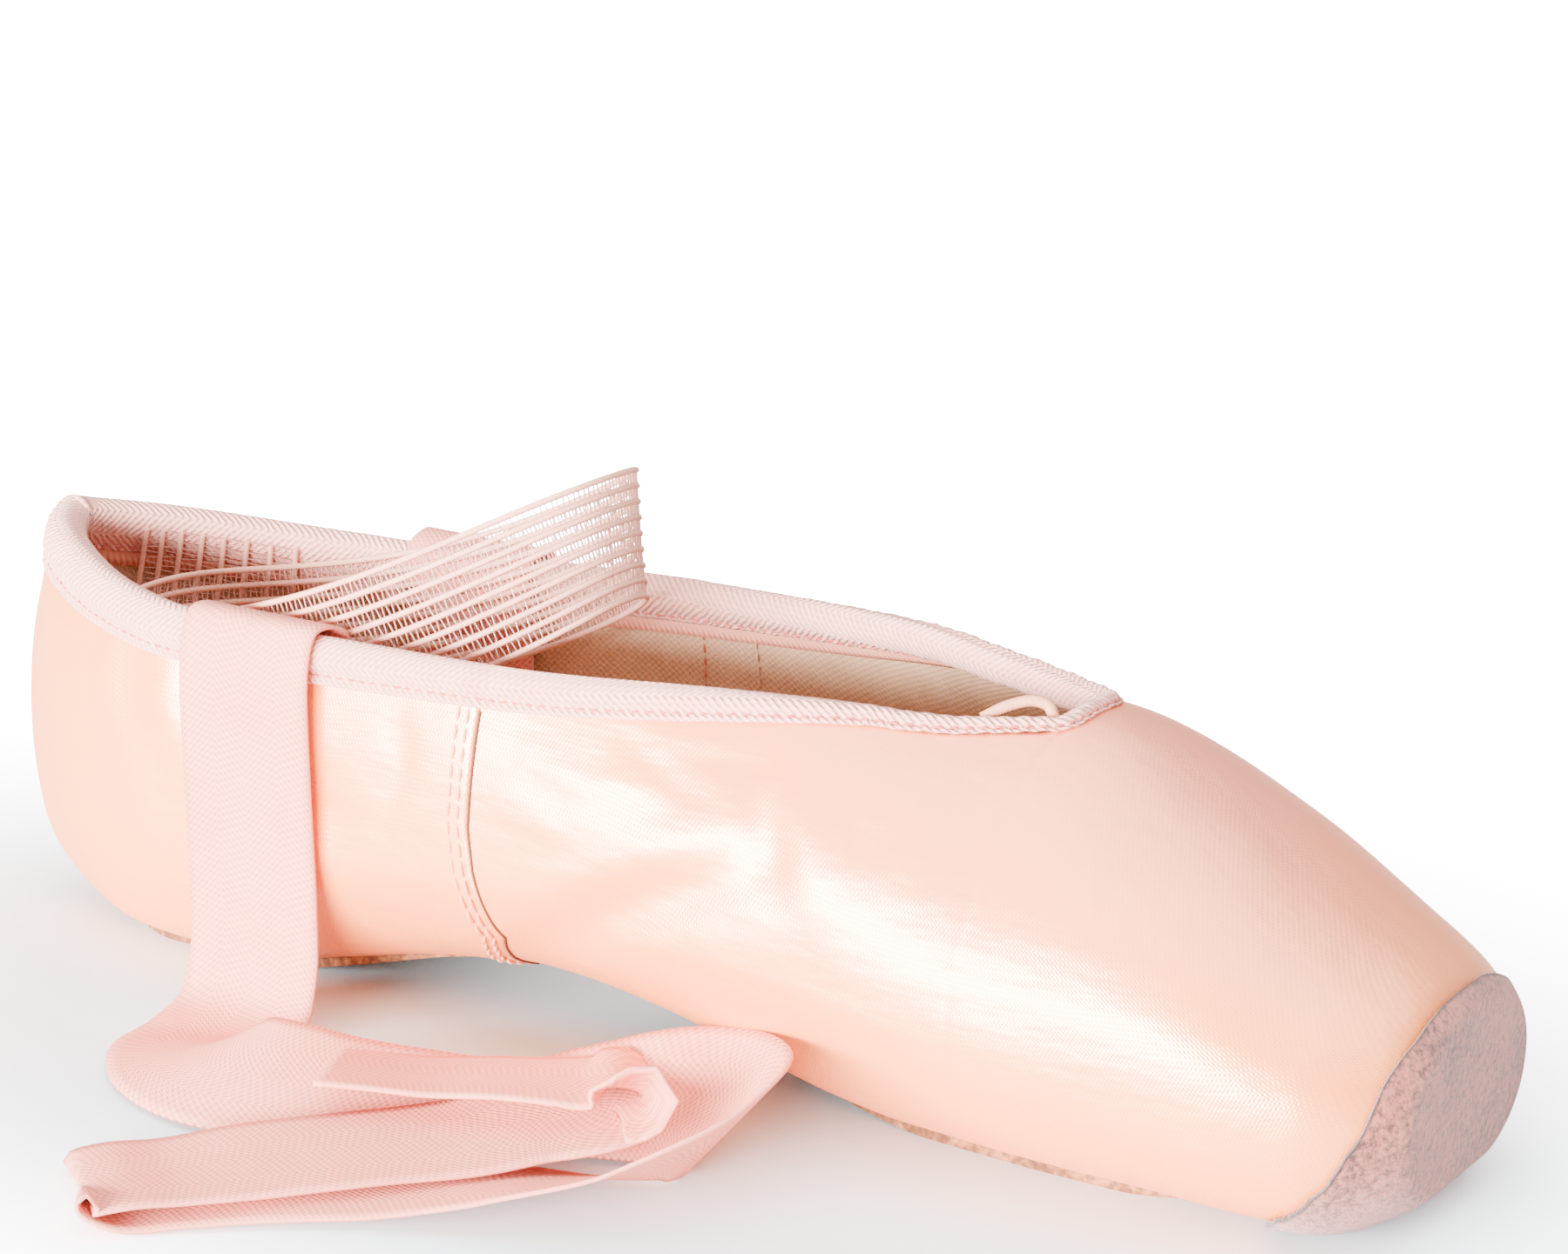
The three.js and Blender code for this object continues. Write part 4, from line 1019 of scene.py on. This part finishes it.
def through(rows, steps, power=0.5):
    """A centripetal Catmull-Rom curve through rows of points, as in the part's source."""
    rows = np.array(rows, float)
    padded = np.vstack([2 * rows[0] - rows[1], rows, 2 * rows[-1] - rows[-2]])
    knots = len(rows) - 1
    t = np.linspace(0, knots, steps + 1)
    k = np.minimum(knots - 1, np.floor(t).astype(int))
    u = (t - k)[:, None]
    p0, p1, p2, p3 = (padded[k + i] for i in range(4))
    d0, d1, d2 = (
        np.maximum(np.linalg.norm(b - a, axis=-1, keepdims=True), 1e-9) ** power
        for a, b in ((p0, p1), (p1, p2), (p2, p3))
    )
    start = ((p1 - p0) / d0 - (p2 - p0) / (d0 + d1) + (p2 - p1) / d1) * d1
    end = ((p2 - p1) / d1 - (p3 - p1) / (d1 + d2) + (p3 - p2) / d2) * d1
    square = -3 * p1 + 3 * p2 - 2 * start - end
    cube = 2 * p1 - 2 * p2 + start + end
    return p1 + start * u + square * u**2 + cube * u**3, t


loop_line, t = through(spots, 40)
drawstring = strands("drawstring_loop", [loop_line], cord_diameter / 2, rings=3)
seat(drawstring, "drawstring")
plain_thread("elastic_cord", (0.80, 0.34, 0.18, 1), 0.6, drawstring)

# Elastic. A strap of open mesh elastic stands in a loop over the heel: pale covered cords with
# clear filaments laced between them, and a tab of the same mesh sewn inside each side of the heel.
strap_centre, strap_half_length, strap_half_width, strap_square = -56.2, 42.0, 22.0, 2.4
strap_low, strap_high, strap_climb, strap_flare = 39.5, 70.3, 1.8, 0.14
strap_width_front, strap_width_back = 19.0, 21.5
strap_cords, strap_steps = 9, 420
cord_radius, filament_radius = 0.46, 0.15
lace_period = 1.7


def laced(lines, period):
    """Ladders between neighbouring lines: a filament that crosses over twice in each period."""
    ladders = []
    for a, b in zip(lines[:-1], lines[1:]):
        run = np.concatenate([[0], np.linalg.norm(np.diff(a, axis=0), axis=-1).cumsum()])
        share = run / run[-1]
        count = max(2, int(run[-1] / period))
        where, over = [], []
        for k in range(count):
            for f, side in ((0.05, 0), (0.2, 1), (0.55, 1), (0.7, 0)):
                where.append((k + f) / count)
                over.append(side)
        where, over = np.array(where), np.array(over)
        at_a = np.stack([np.interp(where, share, a[:, k]) for k in range(3)], -1)
        at_b = np.stack([np.interp(where, share, b[:, k]) for k in range(3)], -1)
        ladders.append(at_a + (at_b - at_a) * over[:, None])
    return ladders


turn = np.linspace(0, 2 * math.pi, strap_steps, endpoint=False)
c, d = np.cos(turn), np.sin(turn)
power = 2 / strap_square
x = strap_half_length * np.sign(c) * np.abs(c) ** power
y = strap_half_width * np.sign(d) * np.abs(d) ** power
front = 0.5 + 0.5 * x / strap_half_length
centre = np.stack([strap_centre + x, y, strap_low + (strap_high - strap_low) * front**strap_climb], -1)
along = np.roll(centre, -1, 0) - np.roll(centre, 1, 0)
along /= np.linalg.norm(along, axis=-1, keepdims=True)
wide = np.stack([-strap_flare * c, 0 * c, np.ones_like(c)], -1)
wide -= along * np.sum(wide * along, -1, keepdims=True)
wide /= np.linalg.norm(wide, axis=-1, keepdims=True)
width = strap_width_back + (strap_width_front - strap_width_back) * (0.5 + 0.5 * c) - 2 * cord_radius
ring_cords = []
for i in range(strap_cords):
    offset = (i / (strap_cords - 1) - 0.5) * width
    ring_cords.append(centre + wide * offset[:, None])
ring = strands("elastic_ring_cords", ring_cords, cord_radius, rings=1, closed=True)
seat(ring, "elastic_strap")
plain_thread("covered_elastic", (0.90, 0.40, 0.28, 1), 0.7, ring)
closed_cords = [np.vstack([line, line[:1]]) for line in ring_cords]
ring_lace = strands("elastic_ring_filaments", laced(closed_cords, lace_period), filament_radius, rings=0)
seat(ring_lace, "elastic_strap")

tab_from, tab_to, tab_top, tab_deep, tab_tuck, tab_cords = 0.135, 0.275, -0.5, -19.0, 4.4, 8
tab_lines, tab_laces = [], []
for side in (-1, 1):
    lines = []
    for i in range(tab_cords):
        share = i / (tab_cords - 1)
        ups = np.linspace(tab_top, tab_deep, 24)
        ways = np.full(24, tab_from + (tab_to - tab_from) * share)
        frame_of = collar_frame(ways, side)
        stand = -inner - 1.9 - tab_tuck * (ups / tab_deep) ** 2 * share
        lines.append(on_wall(frame_of, stand, ups))
    tab_lines += lines
    tab_laces += laced(lines, lace_period)
tabs = strands("elastic_tab_cords", tab_lines, cord_radius, rings=1)
seat(tabs, "elastic_strap")
plain_thread("covered_elastic_tabs", (0.90, 0.40, 0.28, 1), 0.7, tabs)
tab_lace = strands("elastic_tab_filaments", tab_laces, filament_radius, rings=0)
seat(tab_lace, "elastic_strap")
tools, shader = finish("clear_filament", 0.12, (ring_lace, tab_lace))
shader.inputs["Base Color"].default_value = (0.95, 0.55, 0.45, 1)
shader.inputs["Transmission Weight"].default_value = 0.6
shader.inputs["IOR"].default_value = 1.5

# Ribbons. Two woven tapes, 22 mm wide, are sewn inside the quarters. They come over the binding,
# hang down the sides and lie in loose folds. Rows of the tape's middle, x,
# y, z in metres, with the bearing and bank of its width in degrees, as in the part's source.
ribbon_width, ribbon_thickness = 0.022, 0.0006
near_ribbon = (
    (-0.055, -0.0253, 0.0345, 0, 0),
    (-0.0552, -0.0248, 0.0415, 0, 0),
    (-0.0553, -0.0239, 0.0485, 0, 0),
    (-0.0554, -0.0231, 0.053, 0, 0),
    (-0.0555, -0.0235, 0.0558, 0, 0),
    (-0.0557, -0.0267, 0.0574, 0, 0),
    (-0.0559, -0.0303, 0.0572, 0, 0),
    (-0.0559, -0.0319, 0.0547, 0, 0),
    (-0.0557, -0.0328, 0.049, 0, 0),
    (-0.0545, -0.0335, 0.038, 0, 0),
    (-0.0535, -0.0337, 0.028, 0, 0),
    (-0.0525, -0.0339, 0.018, 0, 0),
    (-0.0518, -0.0345, 0.009, 0, 0),
    (-0.0512, -0.0372, 0.003, 0, 0),
    (-0.05, -0.044, 0.001, 5, 0),
    (-0.049, -0.053, 0.002, 20, 6),
    (-0.043, -0.061, 0.004, 55, 16),
    (-0.033, -0.065, 0.0055, 90, 24),
    (-0.021, -0.062, 0.005, 115, 22),
    (-0.01, -0.055, 0.004, 120, 14),
    (0.002, -0.049, 0.0035, 115, 12),
    (0.013, -0.044, 0.0055, 110, 24),
    (0.026, -0.041, 0.008, 80, 42),
    (0.036, -0.047, 0.0095, 30, 52),
    (0.036, -0.058, 0.008, -25, 42),
    (0.027, -0.067, 0.005, -55, 22),
    (0.014, -0.073, 0.003, -65, 8),
    (0.002, -0.079, 0.002, -60, 0),
    (-0.01, -0.087, 0.002, -55, -4),
    (-0.019, -0.095, 0.0009, -50, 0),
    (-0.025, -0.101, 0.0009, -45, 0),
    (-0.028, -0.103, 0.0026, -45, 0),
    (-0.025, -0.1, 0.0036, -44, 0),
    (-0.02, -0.094, 0.0035, -42, 0),
    (-0.012, -0.085, 0.0042, -42, -3),
    (-0.004, -0.076, 0.0046, -42, -3),
    (0.005, -0.066, 0.005, -42, -4),
    (0.011, -0.058, 0.006, -42, -5),
    (0.017, -0.053, 0.007, -42, -4),
    (0.019, -0.05, 0.0076, -42, -2),
    (0.022, -0.048, 0.0092, -42, 0),
    (0.018, -0.048, 0.0108, -43, 2),
    (0.013, -0.05, 0.01, -44, 6),
    (0.003, -0.053, 0.009, -46, 8),
    (-0.008, -0.057, 0.008, -50, 8),
    (-0.019, -0.062, 0.0086, -54, 6),
)
far_ribbon = (
    (-0.055, 0.0253, 0.0345, 0, 0),
    (-0.0552, 0.0248, 0.0415, 0, 0),
    (-0.0553, 0.0239, 0.0485, 0, 0),
    (-0.0554, 0.0231, 0.053, 0, 0),
    (-0.0555, 0.0235, 0.0558, 0, 0),
    (-0.0557, 0.0267, 0.0574, 0, 0),
    (-0.0559, 0.0303, 0.0572, 0, 0),
    (-0.0559, 0.0319, 0.0547, 0, 0),
    (-0.0557, 0.0328, 0.049, 0, 0),
    (-0.0545, 0.0335, 0.038, 0, 0),
    (-0.0535, 0.0337, 0.028, 0, 0),
    (-0.0525, 0.0339, 0.018, 0, 0),
    (-0.0518, 0.0345, 0.009, 0, 0),
    (-0.0512, 0.0372, 0.003, 0, 0),
    (-0.051, 0.045, 0.001, -5, 0),
    (-0.05, 0.056, 0.003, -20, -8),
    (-0.043, 0.068, 0.0055, -50, -24),
    (-0.029, 0.073, 0.0065, -85, -30),
    (-0.014, 0.071, 0.004, -105, -16),
    (0.001, 0.066, 0.0025, -105, -6),
    (0.016, 0.062, 0.0035, -100, -10),
    (0.031, 0.061, 0.006, -80, -26),
    (0.043, 0.066, 0.0085, -45, -44),
    (0.046, 0.076, 0.009, 20, -48),
    (0.037, 0.085, 0.0075, 60, -36),
    (0.023, 0.09, 0.0045, 75, -16),
    (0.008, 0.093, 0.003, 75, -6),
    (-0.007, 0.097, 0.0025, 75, 4),
    (-0.022, 0.102, 0.0035, 75, 12),
    (-0.037, 0.105, 0.0045, 90, 20),
    (-0.052, 0.103, 0.0055, 110, 24),
    (-0.065, 0.096, 0.004, 120, 16),
    (-0.077, 0.088, 0.0025, 120, 6),
    (-0.089, 0.082, 0.0009, 115, 0),
)


def ribbon_frames(rows, steps):
    """Middles and width directions along a ribbon."""
    rows = np.array(rows, float)
    centre, t = through(rows[:, :3], steps)
    bearing, bank = np.radians(rows[:, 3]), np.radians(rows[:, 4])
    wide = np.stack([np.cos(bank) * np.cos(bearing), np.cos(bank) * np.sin(bearing), np.sin(bank)], -1)
    across, t = through(wide, steps)
    along = np.gradient(centre, axis=0)
    along /= np.linalg.norm(along, axis=-1, keepdims=True)
    across -= along * np.sum(across * along, -1, keepdims=True)
    across /= np.linalg.norm(across, axis=-1, keepdims=True)
    return centre, across, np.cross(along, across)


ribbon_columns = 14
# Height of the tape's middle where it lies on the floor
ribbon_rest = 0.0004
for name, rows, steps, ribbon_length in (
    ("ribbon_near_tape", near_ribbon, 420, 0.411),
    ("ribbon_far_tape", far_ribbon, 320, 0.369),
):
    centre, across, normal = ribbon_frames(rows, steps)
    w = np.linspace(-0.5, 0.5, ribbon_columns)
    run = np.concatenate([[0], np.linalg.norm(np.diff(centre, axis=0), axis=-1).cumsum()])
    points = centre[:, None] + across[:, None] * (w * ribbon_width)[:, None]
    points[..., 2] = np.maximum(points[..., 2], ribbon_rest)
    runs = np.repeat(run[:, None], ribbon_columns, 1)
    uv = np.stack([runs, np.repeat(w[None] * ribbon_width, len(run), 0)], -1)
    tape = grid_piece(name, points / mm, uv / mm)
    apply(tape, "SOLIDIFY", thickness=ribbon_thickness * 0.9, offset=0, use_rim=True)
    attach(tape, "root")
    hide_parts("ribbon_near" if rows is near_ribbon else "ribbon_far")
    if rows is near_ribbon:
        tools, shader = finish("ribbon", 0.75)
        threads = woven(tools, 1.0, 0.75, 1.0, diagonal=0.55, stripe=5.5, uneven=0.1)
        place = tools.add("ShaderNodeTexCoord").outputs["Object"]
        soft = tools.add("ShaderNodeTexNoise", {"Vector": place, "Scale": 60.0, "Detail": 3.0}).outputs["Fac"]
        shade = tools.math("MULTIPLY_ADD", threads, 0.75, tools.math("MULTIPLY", soft, 0.35))
        pink = tools.mix(shade, (0.42, 0.08, 0.055, 1), (0.95, 0.34, 0.25, 1))
        tools.tree.links.new(pink, shader.inputs["Base Color"])
        bump = tools.add("ShaderNodeBump", {"Height": threads, "Strength": 0.4, "Distance": 0.0002})
        tools.tree.links.new(bump.outputs["Normal"], shader.inputs["Normal"])
    tape.data.materials.clear()
    tape.data.materials.append(bpy.data.materials["ribbon"])

# Floor and light. White paper whose colour for camera rays is painted light: eight times too bright away
# from the shoe, so that it washes out, and a darker cool grey near the shoe, a painted shadow that deepens
# and greys the real one;
# a long soft box low on the near side, which draws the bright band along the satin, and soft light from
# above.
bpy.ops.object.select_all(action="DESELECT")
bpy.ops.mesh.primitive_plane_add(size=12)
floor = bpy.context.object
floor.name = "floor"
tools, shader = finish("white_paper", 1.0, (floor,))
shader.inputs["Specular IOR Level"].default_value = 0
# For camera rays the paper is painted: a darker cool grey near the shoe, painted shadow, rising to eight
# times white away from it, painted light.
seen = tools.add("ShaderNodeLightPath").outputs["Is Camera Ray"]
place = tools.add("ShaderNodeTexCoord").outputs["Object"]
apart = tools.add("ShaderNodeSeparateXYZ", {0: place})
far_x = tools.math("POWER", tools.math("DIVIDE", apart.outputs["X"], 0.17), 2.0)
far_y = tools.math("POWER", tools.math("DIVIDE", tools.math("ADD", apart.outputs["Y"], 0.02), 0.11), 2.0)
distance = tools.math("SQRT", tools.math("ADD", far_x, far_y))
painted_shadow_falloff = tools.add("ShaderNodeMapRange", {0: distance, 1: 0.5, 2: 2.0}, interpolation_type="SMOOTHSTEP")
painted_floor_light = tools.mix(painted_shadow_falloff.outputs[0], (0.72, 0.84, 0.88, 1), (8.0, 8.0, 8.0, 1))
paper_with_painted_light = tools.mix(seen, (0.85, 0.85, 0.85, 1), painted_floor_light)
tools.tree.links.new(paper_with_painted_light, shader.inputs["Base Color"])

world = bpy.data.worlds.new("studio")
bpy.context.scene.world = world
world.use_nodes = True
world.node_tree.nodes["Background"].inputs["Color"].default_value = (1, 1, 1, 1)
world.node_tree.nodes["Background"].inputs["Strength"].default_value = 0.85


def area_light(name, place, aim_at, size, power):
    light_data = bpy.data.lights.new(name, "AREA")
    light_data.shape = "RECTANGLE"
    light_data.size, light_data.size_y = size
    light_data.energy = power
    light = bpy.data.objects.new(name, light_data)
    light.location = place
    light.rotation_euler = (Vector(aim_at) - Vector(place)).to_track_quat("-Z", "Y").to_euler()
    bpy.context.collection.objects.link(light)


area_light("side_box", (-0.2, -1.2, 0.2), (0, 0, 0.03), (1.3, 0.24), 180)
area_light("overhead", (0.1, 0.1, 1.4), (0, 0, 0), (2.2, 2.2), 60)
